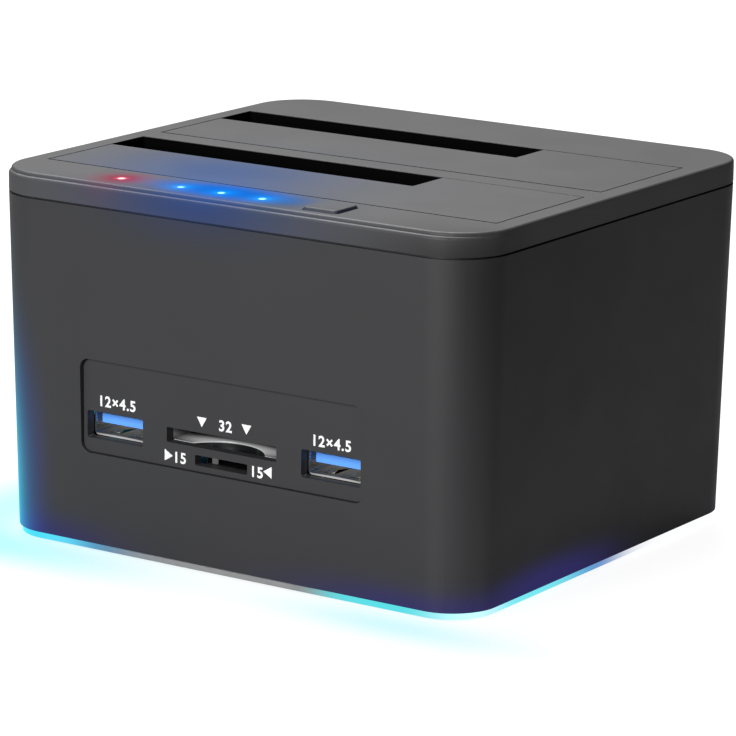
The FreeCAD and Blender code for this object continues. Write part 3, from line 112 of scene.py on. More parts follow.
BLACK: Colour = (0.0, 0.0, 0.0)
WHITE: Colour = (1.0, 1.0, 1.0)
RED: Colour = (1.0, 0.03, 0.07)
DEEP: Colour = (0.012, 0.008, 0.125)


class Colours(Enum):
    """Base colours."""

    HOUSING = (0.034, 0.034, 0.036)
    COVER = (0.060, 0.060, 0.062)
    INNER = (0.007, 0.007, 0.008)
    RUBBER = (0.022, 0.022, 0.023)
    NICKEL = (0.66, 0.66, 0.67)
    SPRING = (0.40, 0.39, 0.38)
    BLACKENED = (0.09, 0.09, 0.095)
    GOLD = (0.86, 0.62, 0.22)
    BOARD = (0.012, 0.105, 0.045)
    COPPER = (0.030, 0.190, 0.080)
    DARK_BOARD = (0.008, 0.010, 0.011)
    DARK_TRACK = (0.020, 0.026, 0.028)
    BLUE = (0.120, 0.370, 1.000)
    BLACK = (0.010, 0.010, 0.011)
    NYLON = (0.74, 0.73, 0.70)
    INK = (0.95, 0.95, 0.95)
    MILKY = (0.28, 0.285, 0.29)
    CLEAR = (0.80, 0.86, 0.90)
    LEAD = (0.55, 0.56, 0.58)
    SLEEVE = (0.012, 0.016, 0.040)

    def times(self, share: float) -> Colour:
        """The colour made lighter or darker."""
        return tuple(c * share for c in self.value)


class Plating(Enum):
    """Which way a drawn or rolled metal's fine lines run, as a stretch of its pattern."""

    ALONG_X = (0.04, 1.0, 1.0)
    ALONG_Y = (1.0, 0.04, 1.0)
    ALONG_Z = (1.0, 1.0, 0.04)


def in_metres(lengths: Iterable[float]) -> list[float]:
    """Millimetres turned into metres."""
    return [length * MM for length in lengths]


class Shader:
    """Adds shader nodes to a new material and joins them."""

    def __init__(self, name: str) -> None:
        """Starts a material with a Principled shader and Object coordinates.

        Args:
            name: The material's name.
        """
        self.material = bpy.data.materials.new(name)
        self.material.use_nodes = True
        self.tree = self.material.node_tree
        self.tree.nodes.clear()
        output = self.add("ShaderNodeOutputMaterial")
        self.surface = self.add("ShaderNodeBsdfPrincipled")
        self.tree.links.new(self.surface.outputs["BSDF"], output.inputs["Surface"])
        self.place = self.add("ShaderNodeTexCoord").outputs["Object"]

    def add(self, kind: str, **settings: Any) -> Node:
        """Adds a node and sets its own settings.

        Args:
            kind: The node's type name.
            settings: Attributes of the node.

        Returns:
            The new node.
        """
        node = self.tree.nodes.new(kind)
        for key, value in settings.items():
            setattr(node, key, value)
        return node

    def feed(self, node: Node, values: dict[Any, Any]) -> Node:
        """Sets or joins a node's inputs.

        Args:
            node: The node.
            values: Input names or numbers with a value or an output socket each.

        Returns:
            The same node.
        """
        for key, value in values.items():
            if isinstance(value, NodeSocket):
                self.tree.links.new(value, node.inputs[key])
            else:
                node.inputs[key].default_value = value
        return node

    def stretched(self, scale: Sequence[float]) -> NodeSocket:
        """Object coordinates stretched along the axes."""
        values = {"Vector": self.place, "Scale": scale}
        return self.feed(self.add("ShaderNodeMapping"), values).outputs["Vector"]

    def noise(self, scale: float, detail: float = 3.0, where: Any = None) -> NodeSocket:
        """Noise from 0 to 1 at a scale per metre."""
        values = {"Vector": where or self.place, "Scale": scale, "Detail": detail}
        return self.feed(self.add("ShaderNodeTexNoise"), values).outputs["Fac"]

    def sums(self, operation: str, a: Any, b: Any = 0.0) -> NodeSocket:
        """One sum of two values."""
        return self.feed(self.add("ShaderNodeMath", operation=operation), {0: a, 1: b}).outputs[0]

    def vector(self, operation: str, a: Any, b: Any = BLACK, output: str = "Vector") -> NodeSocket:
        """One sum of two vectors."""
        return self.feed(self.add("ShaderNodeVectorMath", operation=operation), {0: a, 1: b}).outputs[output]

    def spread(self, value: Any, low: float, high: float, start: float = 0.3, stop: float = 0.7) -> NodeSocket:
        """A value from start to stop taken to low and high."""
        values = {"Value": value, "From Min": start, "From Max": stop, "To Min": low, "To Max": high}
        return self.feed(self.add("ShaderNodeMapRange"), values).outputs[0]

    def blend(self, factor: Any, a: Any, b: Any) -> NodeSocket:
        """A mix of two colours.

        Args:
            factor: How much of the second colour shows, from 0 to 1.
            a: The first colour, or its socket.
            b: The second colour, or its socket.

        Returns:
            The mixed colour's socket.
        """
        node = self.add("ShaderNodeMix", data_type="RGBA")
        pair = [v if isinstance(v, NodeSocket) else (*v, 1.0) for v in (a, b)]
        return self.feed(node, {"Factor": factor, 6: pair[0], 7: pair[1]}).outputs[2]

    def kept(self, share: NodeSocket | None, colour: NodeSocket) -> NodeSocket:
        """A colour of which only a share stays, or all of it where there is no share."""
        return colour if share is None else self.blend(share, BLACK, colour)

    def bump(self, layers: Sequence[tuple[NodeSocket, float]]) -> None:
        """Puts bump layers on the surface.

        Args:
            layers: Height sockets, each with its depth in millimetres.
        """
        normal = None
        for height, depth in layers:
            node = self.add("ShaderNodeBump")
            self.feed(node, {"Height": height, "Distance": depth * MM, "Strength": 1.0})
            if normal is not None:
                self.feed(node, {"Normal": normal})
            normal = node.outputs["Normal"]
        self.feed(self.surface, {"Normal": normal})

    def set(self, **values: Any) -> None:
        """Sets the surface's inputs by name, with underscores for spaces."""
        self.feed(self.surface, {key.replace("_", " "): (*v, 1.0) if isinstance(v, tuple) and len(v) == 3 else v
                                 for key, v in values.items()})


@dataclass(frozen=True)
class Glow:
    """Painted light that a lamp would spread over the surface near it, or painted shade if its strength is 0.

    Attributes:
        centre: Where it is brightest, in millimetres.
        radii: How far it reaches along each axis, in millimetres.
        colour: Its colour.
        strength: How bright it is at the centre.
        power: How sharply it ends.
        cover: How far it drowns the surface's own colour at the centre, from 0 to 1.
    """

    centre: Point
    radii: Point
    colour: Colour
    strength: float
    power: float = 2.0
    cover: float = 0.0

    def fall(self, shader: Shader) -> NodeSocket:
        """How strong the glow is at each point, from 0 to 1.

        Args:
            shader: The shader to add to.

        Returns:
            The strength's socket.
        """
        away = shader.vector("SUBTRACT", shader.place, in_metres(self.centre))
        length = shader.vector("LENGTH", shader.vector("DIVIDE", away, in_metres(self.radii)), output="Value")
        return shader.sums("EXPONENT", shader.sums("MULTIPLY", shader.sums("POWER", length, self.power), -1.0))


@dataclass(frozen=True)
class Shade:
    """A recess where a moulding is painted dark: painted shade, as no light reaches its walls.

    Attributes:
        low: Lowest corner, in millimetres.
        high: Highest corner, in millimetres.
        keep: How much of the colour stays, from 0 to 1.
    """

    low: Point
    high: Point
    keep: float

    def mask(self, shader: Shader) -> NodeSocket:
        """1 outside the recess and the kept share inside it.

        Args:
            shader: The shader to add to.

        Returns:
            The share's socket.
        """
        centre = in_metres((a + b) / 2 for a, b in zip(self.low, self.high))
        half = in_metres((b - a) / 2 for a, b in zip(self.low, self.high))
        scaled = shader.vector("DIVIDE", shader.vector("SUBTRACT", shader.place, centre), half)
        size = shader.vector("ABSOLUTE", scaled)
        parts = shader.feed(shader.add("ShaderNodeSeparateXYZ"), {0: size}).outputs
        most = shader.sums("MAXIMUM", shader.sums("MAXIMUM", parts[0], parts[1]), parts[2])
        return shader.spread(shader.sums("GREATER_THAN", most, 1.0), self.keep, 1.0, 0.0, 1.0)


def lit(shader: Shader, glows: Sequence[Glow], shades: Sequence[Shade] = ()) -> NodeSocket | None:
    """Adds glows, which are painted light, to a material's emission.

    Args:
        shader: The material.
        glows: The glows to sum.
        shades: Recesses with painted shade.

    Returns:
        How much of the surface's own colour stays, or nothing if all of it does.
    """
    total, shares = None, []
    for glow in glows:
        fall = glow.fall(shader)
        here = shader.feed(shader.add("ShaderNodeVectorMath", operation="SCALE"),
                           {0: [c * glow.strength for c in glow.colour], "Scale": fall}).outputs[0]
        if glow.cover:
            shares.append(shader.sums("SUBTRACT", 1.0, shader.sums("MULTIPLY", fall, glow.cover)))
        total = here if total is None else shader.vector("ADD", total, here)
    if total is not None:
        shader.set(Emission_Color=total, Emission_Strength=1.0)
    stays = None
    for share in shares + [shade.mask(shader) for shade in shades]:
        stays = share if stays is None else shader.sums("MULTIPLY", stays, share)
    return stays


@dataclass(frozen=True)
class MouldedPlastic:
    """Moulded plastic with a fine spark-eroded grain.

    Attributes:
        name: The material's name.
        colour: Its base colour.
        roughness: Its middle roughness.
        grain: Size of the grain, in millimetres.
        depth: Depth of the grain, in millimetres.
        specular: Strength of its plain reflection.
        glows: Painted light that lamps spread over it, and patches of painted shade.
        shades: Recesses with painted shade.
        drift: How far its colour and roughness wander.
        speck: How much lighter the grain's tips are.
    """

    name: str
    colour: Colours
    roughness: float = 0.48
    grain: float = 0.22
    depth: float = 0.006
    specular: float = 0.35
    glows: tuple[Glow, ...] = ()
    shades: tuple[Shade, ...] = ()
    drift: float = 0.03
    speck: float = 1.5

    def make(self) -> Material:
        """Builds the material.

        Returns:
            The material.
        """
        shader = Shader(self.name)
        fine = shader.noise(1 / (self.grain * MM), 2.0)
        broad = shader.noise(28.0, 4.0)
        smear = shader.noise(90.0, 5.0)
        tint = shader.blend(shader.spread(broad, 0.0, 1.0), self.colour.times(1 - self.drift),
                            self.colour.times(1 + self.drift))
        colour = shader.blend(shader.spread(fine, 0.0, 0.35, 0.55, 0.85), tint, self.colour.times(self.speck))
        share = lit(shader, self.glows, self.shades)
        # With shades, the plain reflection keeps the same share as the colour under painted light and painted
        # shade.
        shine = shader.sums("MULTIPLY", share, self.specular) if self.shades else self.specular
        shader.set(Base_Color=shader.kept(share, colour), Specular_IOR_Level=shine,
                   Roughness=shader.spread(smear, self.roughness - self.drift, self.roughness + self.drift))
        shader.bump([(broad, 0.003), (fine, self.depth)])
        return shader.material


@dataclass(frozen=True)
class SheetMetal:
    """Plated or drawn metal with fine lines along one way.

    Attributes:
        name: The material's name.
        colour: Its colour.
        lines: Which way its lines run.
        roughness: Its middle roughness.
        tarnish: How much its dull patches show.
        glows: Painted light and painted highlights on it.
        dull: How bright a fully dull patch is.
    """

    name: str
    colour: Colours
    lines: Plating
    roughness: float = 0.3
    tarnish: float = 0.25
    glows: tuple[Glow, ...] = ()
    dull: float = 0.55

    def make(self) -> Material:
        """Builds the material.

        Returns:
            The material.
        """
        shader = Shader(self.name)
        streaks = shader.noise(9000.0, 2.0, shader.stretched(self.lines.value))
        patches = shader.spread(shader.noise(400.0, 4.0), 0.0, self.tarnish, 0.45, 0.75)
        colour = shader.blend(patches, self.colour.value, self.colour.times(self.dull))
        shader.set(Base_Color=shader.kept(lit(shader, self.glows), colour), Metallic=1.0,
                   Roughness=shader.spread(streaks, self.roughness - 0.08, self.roughness + 0.1))
        shader.bump([(streaks, 0.002)])
        return shader.material


@dataclass(frozen=True)
class Lacquered:
    """Circuit board with copper tracks and pads that show through its lacquer.

    Attributes:
        name: The material's name.
        lacquer: Colour over bare board.
        track: Colour over copper.
        pitch: Width of a track and its gap, in millimetres.
    """

    name: str = "board_lacquer"
    lacquer: Colours = Colours.BOARD
    track: Colours = Colours.COPPER
    pitch: float = 1.3

    def make(self) -> Material:
        """Builds the material.

        Returns:
            The material.
        """
        shader = Shader(self.name)
        tracks = shader.feed(shader.add("ShaderNodeTexBrick", offset=0.5, offset_frequency=3),
                             {"Vector": shader.place, "Scale": 1 / (self.pitch * MM) / 4, "Color1": (*WHITE, 1),
                              "Color2": (*WHITE, 1), "Mortar": (*BLACK, 1), "Mortar Size": 0.03,
                              "Brick Width": 2.0, "Row Height": 0.25}).outputs["Fac"]
        cells = shader.feed(shader.add("ShaderNodeTexVoronoi", feature="F1", distance="CHEBYCHEV"),
                            {"Vector": shader.place, "Scale": 420.0}).outputs["Distance"]
        copper = shader.sums("MULTIPLY", tracks, shader.spread(shader.noise(120.0), 0.0, 1.0, 0.45, 0.5))
        mask = shader.sums("MAXIMUM", copper, shader.spread(cells, 1.0, 0.0, 0.08, 0.11))
        shader.set(Base_Color=shader.blend(mask, self.lacquer.value, self.track.value), Coat_Weight=0.4,
                   Coat_Roughness=0.12, Roughness=shader.spread(shader.noise(200.0), 0.25, 0.4))
        shader.bump([(mask, 0.02)])
        return shader.material


@dataclass(frozen=True)
class Milky:
    """Milky or clear light guide, lit from inside by lamps.

    Attributes:
        name: The material's name.
        colour: Its own colour.
        glows: Where light leaves it.
        clear: How far light passes through it, from 0 to 1.
        roughness: Its roughness.
    """

    name: str
    colour: Colours
    glows: tuple[Glow, ...]
    clear: float = 0.0
    roughness: float = 0.35

    def make(self) -> Material:
        """Builds the material.

        Returns:
            The material.
        """
        shader = Shader(self.name)
        cloud = shader.noise(700.0, 4.0)
        colour = shader.blend(shader.spread(cloud, 0.0, 1.0), self.colour.times(0.9), self.colour.value)
        shader.set(Base_Color=shader.kept(lit(shader, self.glows), colour), Transmission_Weight=self.clear,
                   Roughness=shader.spread(cloud, self.roughness - 0.06, self.roughness + 0.06))
        shader.bump([(cloud, 0.004)])
        return shader.material


@dataclass(frozen=True)
class Striped:
    """Flat lead or sleeve with stripes across one axis.

    Attributes:
        name: The material's name.
        colour: Colour of the ridges.
        groove: Colour between them.
        axis: Axis that the stripes follow one another along.
        pitch: From one stripe to the next, in millimetres.
    """

    name: str
    colour: Colours
    groove: Colours
    axis: str
    pitch: float

    def make(self) -> Material:
        """Builds the material.

        Returns:
            The material.
        """
        shader = Shader(self.name)
        wave = shader.feed(shader.add("ShaderNodeTexWave", bands_direction=self.axis),
                           {"Vector": shader.place, "Scale": math.pi / (self.pitch * MM) / 10}).outputs["Fac"]
        colour = shader.blend(shader.spread(wave, 0.0, 1.0, 0.1, 0.35), self.groove.value, self.colour.value)
        shader.set(Base_Color=colour, Roughness=shader.spread(shader.noise(500.0), 0.4, 0.55))
        shader.bump([(wave, 0.12)])
        return shader.material


@dataclass(frozen=True)
class Ink:
    """Pad-printed ink with a slightly uneven edge and weight.

    Attributes:
        name: The material's name.
        colour: Its colour where it is thick.
    """

    name: str = "white_ink"
    colour: Colours = Colours.INK

    def make(self) -> Material:
        """Builds the material.

        Returns:
            The material.
        """
        shader = Shader(self.name)
        weight = shader.noise(5000.0, 3.0)
        shader.set(Base_Color=shader.blend(shader.spread(weight, 0.0, 1.0), self.colour.times(0.88),
                                           self.colour.value), Roughness=0.6)
        shader.bump([(weight, 0.003)])
        return shader.material


def bay_shades(keep: float, end: float) -> tuple[Shade, ...]:
    """Painted shade where no light reaches: the bays' walls and the long gaps round the flaps.

    Args:
        keep: How much of the colour stays there.
        end: How far right the walls' shade reaches, in millimetres.

    Returns:
        The shades.
    """
    walls = tuple(Shade((-BAY_HALF - 0.1, y - 0.1, 20.0), (end, y + BAY_DEPTH + 0.1, TOP - 0.12), keep)
                  for y in BAY_Y)
    back = BAY_Y[1] + BAY_DEPTH
    gaps = [(-BAY_HALF, y - 0.2, y + 0.62) for y in BAY_Y] + [(SLOT_END, back - 0.45, back + 0.15)]
    return walls + tuple(Shade((left, front, TOP - 2.0), (BAY_HALF, rear, TOP - 0.01), keep)
                         for left, front, rear in gaps)


def strip_glows() -> tuple[Glow, ...]:
    """Painted light of the four status lamps on the cover round them, their painted haze, and painted shade on
    the cover's right front corner.

    Returns:
        The glows.
    """
    red = (Glow((POWER_X, LAMP_Y, TOP), (4.5, 4.5, 3), (0.55, 0.010, 0.040), 0.64, 2.0, 0.95),
           Glow((POWER_X, LAMP_Y, TOP), (1.1, 1.1, 2), (1.0, 0.30, 0.38), 0.8))
    band = (Glow((-4.15, LAMP_Y + 1.3, TOP), (16.2, 6.3, 4), (0.002, 0.125, 0.60), 0.9, 4.0, 0.97),
            Glow((10.2, LAMP_Y, TOP), (5.0, 5.5, 3), (0.0, 0.040, 0.045), 0.9, 2.0, 0.5))
    blue = tuple(Glow((x, LAMP_Y, TOP), (3.4, 3.4, 3), (0.0, 0.22, 0.60), 0.5, 2.0, 0.3) for x in COPY_XS)
    cores = tuple(Glow((x, LAMP_Y, TOP), (1.2, 1.2, 2), (0.0, 0.50, 0.9), 0.55) for x in COPY_XS)
    # Painted shade on the cover's right front corner.
    corner_shade = (Glow((57.0, -52.0, 69.0), (24, 14, 5.5), BLACK, 0.0, 2.0, 0.6),)
    return red + band + blue + cores + haze_glows()[1:] + corner_shade


def haze_glows() -> tuple[Glow, ...]:
    """Faint painted blue light that reaches past the lamps, over the flap and down the cover's front edge.

    Returns:
        The glows.
    """
    return (Glow((-17.5, -26.5, TOP), (22, 15.5, 9), (0.0, 0.055, 0.22), 1.0, 2.0, 0.56),
            Glow((-7.0, -41.0, TOP), (17, 8, 9), (0.0, 0.040, 0.16), 1.0, 2.0, 0.4),
            Glow((-7.0, -51.3, TOP - 2.2), (22, 6, 6), (0.002, 0.026, 0.14), 0.8, 2.0, 0.55))


def edge_glows() -> tuple[Glow, ...]:
    """Painted shade on the housing's upper right side, and painted light on it from the base and the lamps.

    Returns:
        The glows.
    """
    # Painted shade on the upper right side, then faint painted light low on that side.
    return (Glow((57.0, -36.0, 66.0), (6, 40, 26), BLACK, 0.0, 2.0, 0.5),
            Glow((57.0, -30.0, 9.0), (8, 40, 16), (0.009, 0.009, 0.009), 1.0),
            Glow((-8.0, -51.3, TOP - 4), (17, 6, 5), (0.004, 0.020, 0.09), 0.5, 2.0, 0.3),
            Glow((-50.0, -50.0, 2.0), (20, 9, 4), DEEP, 0.9, 2.0, 0.6),
            Glow((43.0, -50.0, 2.0), (24, 7, 3.6), DEEP, 0.8, 2.0, 0.5),
            Glow((0.0, 50.0, 2.0), (36, 9, 4.5), DEEP, 0.8, 2.0, 0.4),
            Glow((56.0, -22.0, 2.0), (7, 24, 5), DEEP, 0.8, 3.0, 0.15),
            Glow((-55.0, -22.0, 2.0), (7, 30, 6), DEEP, 1.0, 2.0, 0.4),
            Glow((-52.0, -50.0, 12.0), (8.5, 9, 30), DEEP, 0.85, 4.0, 0.35),
            Glow((-55.5, -38.0, 8.0), (6, 14, 24), (0.03, 0.80, 1.0), 1.3, 2.0, 0.9))


def ring_glows() -> tuple[Glow, ...]:
    """Light that leaves the guide round the base, brightest at its corners.

    Returns:
        The glows.
    """
    return (Glow((-52.0, -47.0, 1.5), (17.0, 14, 9), (0.06, 0.72, 0.90), 1.0, 4.0, 1.0),
            Glow((-33.0, -49.5, 1.5), (9, 8, 9), (0.05, 0.26, 0.50), 0.8, 2.0, 0.8),
            Glow((42.0, -50.0, 1.5), (21.0, 8, 9), (0.10, 0.74, 0.80), 1.0, 7.0, 1.0),
            Glow((54.0, -46.0, 1.5), (9, 10, 9), (0.42, 0.20, 0.20), 1.0, 3.0, 1.0),
            Glow((55.0, -30.0, 1.5), (6, 22.0, 9), (0.18, 0.80, 0.88), 1.0, 4.0, 1.0),
            Glow((55.0, -3.0, 1.5), (6, 10.0, 9), (0.10, 0.25, 0.63), 0.8, 2.0, 0.8),
            Glow((55.0, 37.0, 1.5), (6, 33, 9), (0.97, 0.98, 1.00), 1.0, 6.0, 1.0),
            Glow((-55.0, -10.0, 1.5), (6, 44, 9), (0.10, 0.60, 0.85), 0.9, 3.0, 1.0),
            Glow((0.0, 49.5, 1.5), (50, 8, 9), (0.10, 0.45, 0.65), 0.8, 3.0, 0.8))


def port_glows() -> tuple[Glow, ...]:
    """Painted light inside the shells of the two front ports, and a painted highlight on their lower lips.

    Returns:
        The glows.
    """
    inside = tuple(Glow((x, -37.5, 26.0), (9.0, 9.5, 5.0), (0.085, 0.080, 0.062), 1.0, 6.0, 0.75)
                   for x in PORT_XS)
    lips = tuple(Glow((x, -47.4, 23.5), (6.9, 0.5, 0.4), (0.46, 0.45, 0.44), 1.0, 6.0, 0.9) for x in PORT_XS)
    return inside + lips


def card_glows() -> tuple[Glow, ...]:
    """A painted highlight along the front edge of the large card socket's floor."""
    return (Glow((-1.0, -45.0, 25.2), (14.6, 4.5, 0.22), (0.46, 0.46, 0.46), 1.0, 6.0, 0.9),)


def tab_glows() -> tuple[Glow, ...]:
    """Painted grey light on the small card socket's tab, which drowns its gold so that it reads as lit steel.
    """
    return (Glow((-5.3, -45.4, 22.4), (1.0, 0.8, 2.0), (0.12, 0.12, 0.12), 1.0, 6.0, 0.97),)


class Finishes:
    """Every finish of the dock, built when it is first asked for."""

    RECIPES: tuple[Any, ...] = (
        MouldedPlastic("housing_plastic", Colours.HOUSING, glows=edge_glows()),
        MouldedPlastic("cover_plastic", Colours.COVER, roughness=0.5, glows=strip_glows(),
                       shades=bay_shades(0.03, BAY_HALF + 0.1)),
        MouldedPlastic("flap_plastic", Colours.COVER, roughness=0.5, glows=haze_glows(),
                       shades=bay_shades(0.08, BAY_HALF - 0.5)),
        MouldedPlastic("panel_plastic", Colours.HOUSING, roughness=0.46),
        MouldedPlastic("inner_plastic", Colours.INNER, roughness=0.55, grain=0.35),
        MouldedPlastic("black_plastic", Colours.BLACK, roughness=0.34, grain=0.15, depth=0.003),
        MouldedPlastic("blue_plastic", Colours.BLUE, roughness=0.32, grain=0.15, depth=0.003, specular=0.5),
        MouldedPlastic("nylon", Colours.NYLON, roughness=0.45, grain=0.3, depth=0.004),
        MouldedPlastic("rubber", Colours.RUBBER, roughness=0.85, grain=0.4, depth=0.03, specular=0.2),
        MouldedPlastic("chip_package", Colours.BLACK, roughness=0.6, grain=0.12, depth=0.01),
        SheetMetal("port_sheet", Colours.NICKEL, Plating.ALONG_Y, roughness=0.26, glows=port_glows()),
        SheetMetal("card_sheet", Colours.NICKEL, Plating.ALONG_X, glows=card_glows()),
        SheetMetal("pin_steel", Colours.SPRING, Plating.ALONG_X, roughness=0.22),
        SheetMetal("coil_steel", Colours.SPRING, Plating.ALONG_X, roughness=0.34, tarnish=0.5),
        SheetMetal("screw_steel", Colours.BLACKENED, Plating.ALONG_Z, roughness=0.42),
        SheetMetal("gold", Colours.GOLD, Plating.ALONG_Z, roughness=0.24, tarnish=0.3, glows=tab_glows()),
        Lacquered(),
        Lacquered("dark_lacquer", Colours.DARK_BOARD, Colours.DARK_TRACK),
        Milky("ring_guide", Colours.MILKY, ring_glows()),
        Milky("red_lens", Colours.CLEAR,
              (Glow((POWER_X, LAMP_Y, TOP), (0.9, 0.9, 2.0), (1.0, 0.44, 0.50), 1.0, 2.0, 0.9),
               Glow((POWER_X, LAMP_Y, TOP), (1.4, 1.4, 3.0), RED, 0.6)), clear=0.1),
        Milky("blue_lens", Colours.CLEAR,
              tuple(Glow((x, LAMP_Y, TOP), (1.3, 1.3, 2.0), (red, green, 1.0), 1.1, 2.0, 0.9)
                    for x, red, green in zip(COPY_XS, (0.05, 0.11, 0.14), (0.55, 0.70, 0.92))), clear=0.1),
        Milky("lamp_package", Colours.NYLON, (), roughness=0.3),
        Striped("ribbon", Colours.LEAD, Colours.NYLON, "X", 0.64),
        Striped("sleeve", Colours.SLEEVE, Colours.BLACK, "Z", 2.0),
        Ink(),
    )

    def __init__(self) -> None:
        """Starts with nothing built."""
        self.recipes = {recipe.name: recipe for recipe in self.RECIPES}
        self.built: dict[str, Material] = {}

    def get(self, name: str) -> Material:
        """Looks up a material, and builds it the first time.

        Args:
            name: The finish's name.

        Returns:
            The material.
        """
        if name not in self.built:
            self.built[name] = self.recipes[name].make()
        return self.built[name]


def link(name: str, data: Any) -> Object:
    """Puts a mesh, text, camera or lamp in the scene as an object at the origin.

    Args:
        name: The object's name.
        data: Its mesh, text, camera or lamp.

    Returns:
        The object.
    """
    obj = bpy.data.objects.new(name, data)
    bpy.context.scene.collection.objects.link(obj)
    return obj


def even_normals(obj: Object) -> Object:
    """Weights an object's normals by the size of its faces."""
    obj.modifiers.new("even_normals", "WEIGHTED_NORMAL").keep_sharp = True
    return obj


def evaluated(obj: Object) -> Mesh:
    """A plain mesh of an object with its modifiers applied.

    Args:
        obj: The object.

    Returns:
        The mesh.
    """
    graph = bpy.context.evaluated_depsgraph_get()
    graph.update()
    return bpy.data.meshes.new_from_object(obj.evaluated_get(graph))


def mesh_of(name: str, shape: BMesh) -> Mesh:
    """Turns a bmesh into a mesh and frees it.

    Args:
        name: The mesh's name.
        shape: The bmesh.

    Returns:
        The mesh.
    """
    mesh = bpy.data.meshes.new(name)
    shape.to_mesh(mesh)
    shape.free()
    return mesh


def from_bmesh(name: str, shape: BMesh, crease: float = 38.0) -> Object:
    """Turns a bmesh into a smooth-shaded object with sharp creases.

    Args:
        name: The object's name.
        shape: The bmesh, which is freed.
        crease: Angle past which an edge stays sharp, in degrees.

    Returns:
        The object.
    """
    for face in shape.faces:
        face.smooth = True
    for edge in shape.edges:
        edge.smooth = len(edge.link_faces) == 2 and edge.calc_face_angle(0.0) < math.radians(crease)
    return even_normals(link(name, mesh_of(name, shape)))


def lathe(name: str, profile: Sequence[tuple[float, float]], steps: int = 40) -> Object:
    """Turns a closed (radius, height) profile about the Z axis.

    Args:
        name: The object's name.
        profile: Corners in millimetres, from the axis at the bottom to the axis at the top.
        steps: How many faces go round.

    Returns:
        The object, standing at the origin.
    """
    shape = bmesh.new()
    rings = []
    for radius, height in profile:
        angles = [2 * math.pi * k / steps for k in range(steps if radius else 1)]
        rings.append([shape.verts.new(in_metres((radius * math.cos(a), radius * math.sin(a), height)))
                      for a in angles])
    for low, high in zip(rings, rings[1:]):
        for k in range(steps):
            j = (k + 1) % steps
            corners = [low[k % len(low)], low[j % len(low)], high[j % len(high)], high[k % len(high)]]
            shape.faces.new(list(dict.fromkeys(corners)))
    bmesh.ops.recalc_face_normals(shape, faces=shape.faces)
    return from_bmesh(name, shape)


def prism(outline: Sequence[Point], push: Point) -> BMesh:
    """Pushes a flat outline along a straight line into a closed shape.

    Args:
        outline: Its corners in millimetres.
        push: How far it is pushed, in millimetres.

    Returns:
        The shape.
    """
    shape = bmesh.new()
    near = [shape.verts.new(in_metres(p)) for p in outline]
    far = [shape.verts.new(in_metres(Vector(p) + Vector(push))) for p in outline]
    shape.faces.new(near[::-1])
    shape.faces.new(far)
    for a, b, c, d in zip(near, near[1:] + near[:1], far[1:] + far[:1], far):
        shape.faces.new((a, b, c, d))
    bmesh.ops.recalc_face_normals(shape, faces=shape.faces)
    return shape


def move(obj: Object, matrix: Matrix) -> Object:
    """Moves an object's mesh, not the object."""
    obj.data.transform(matrix)
    return obj


def box_into(shape: BMesh, low: Point, high: Point) -> None:
    """Adds a block to a bmesh.

    Args:
        shape: The bmesh.
        low: The block's lowest corner, in millimetres.
        high: Its highest corner.
    """
    size = Vector(high) - Vector(low)
    centre = (Vector(high) + Vector(low)) / 2
    place = Matrix.Translation(centre * MM) @ Matrix.Diagonal((*(size * MM), 1.0))
    bmesh.ops.create_cube(shape, size=1.0, matrix=place)


@dataclass(frozen=True)
class Softener:
    """Copies a CAD node and rounds its edges as moulding or folding leaves them.

    Attributes:
        width: How far the rounding reaches, in millimetres.
        segments: Steps across the rounding.
        angle: Edges sharper than this are rounded, in degrees.
        flat: Faces nearer than this to one plane become one, in degrees.
        merge: Corners nearer than this become one, in millimetres.
    """

    width: float
    segments: int = 2
    angle: float = 40.0
    flat: float = 0.4
    merge: float = 0.002

    def copy(self, name: str, *nodes: str) -> Object:
        """Makes the rounded copy, which stands for the nodes.

        Args:
            name: The new piece's name.
            nodes: The CAD nodes to copy.

        Returns:
            The piece.
        """
        shape = bmesh.new()
        for node in nodes:
            shape.from_mesh(bpy.data.objects[node].data)
        bmesh.ops.remove_doubles(shape, verts=shape.verts, dist=self.merge * MM)
        bmesh.ops.dissolve_limit(shape, angle_limit=math.radians(self.flat), verts=shape.verts,
                                 edges=shape.edges)
        if self.width > 0:
            limit = math.radians(self.angle)
            sharp = [e for e in shape.edges if len(e.link_faces) == 2 and e.calc_face_angle(0.0) > limit]
            bmesh.ops.bevel(shape, geom=sharp, offset=self.width * MM, segments=self.segments, profile=0.5,
                            affect="EDGES", clamp_overlap=True)
        for layer in list(shape.loops.layers.float_vector.values()):
            shape.loops.layers.float_vector.remove(layer)
        obj = from_bmesh(name, shape)
        for extra in [a.name for a in obj.data.attributes if a.name in ("custom_normal", "UVMap")]:
            obj.data.attributes.remove(obj.data.attributes[extra])
        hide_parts(*nodes)
        return obj


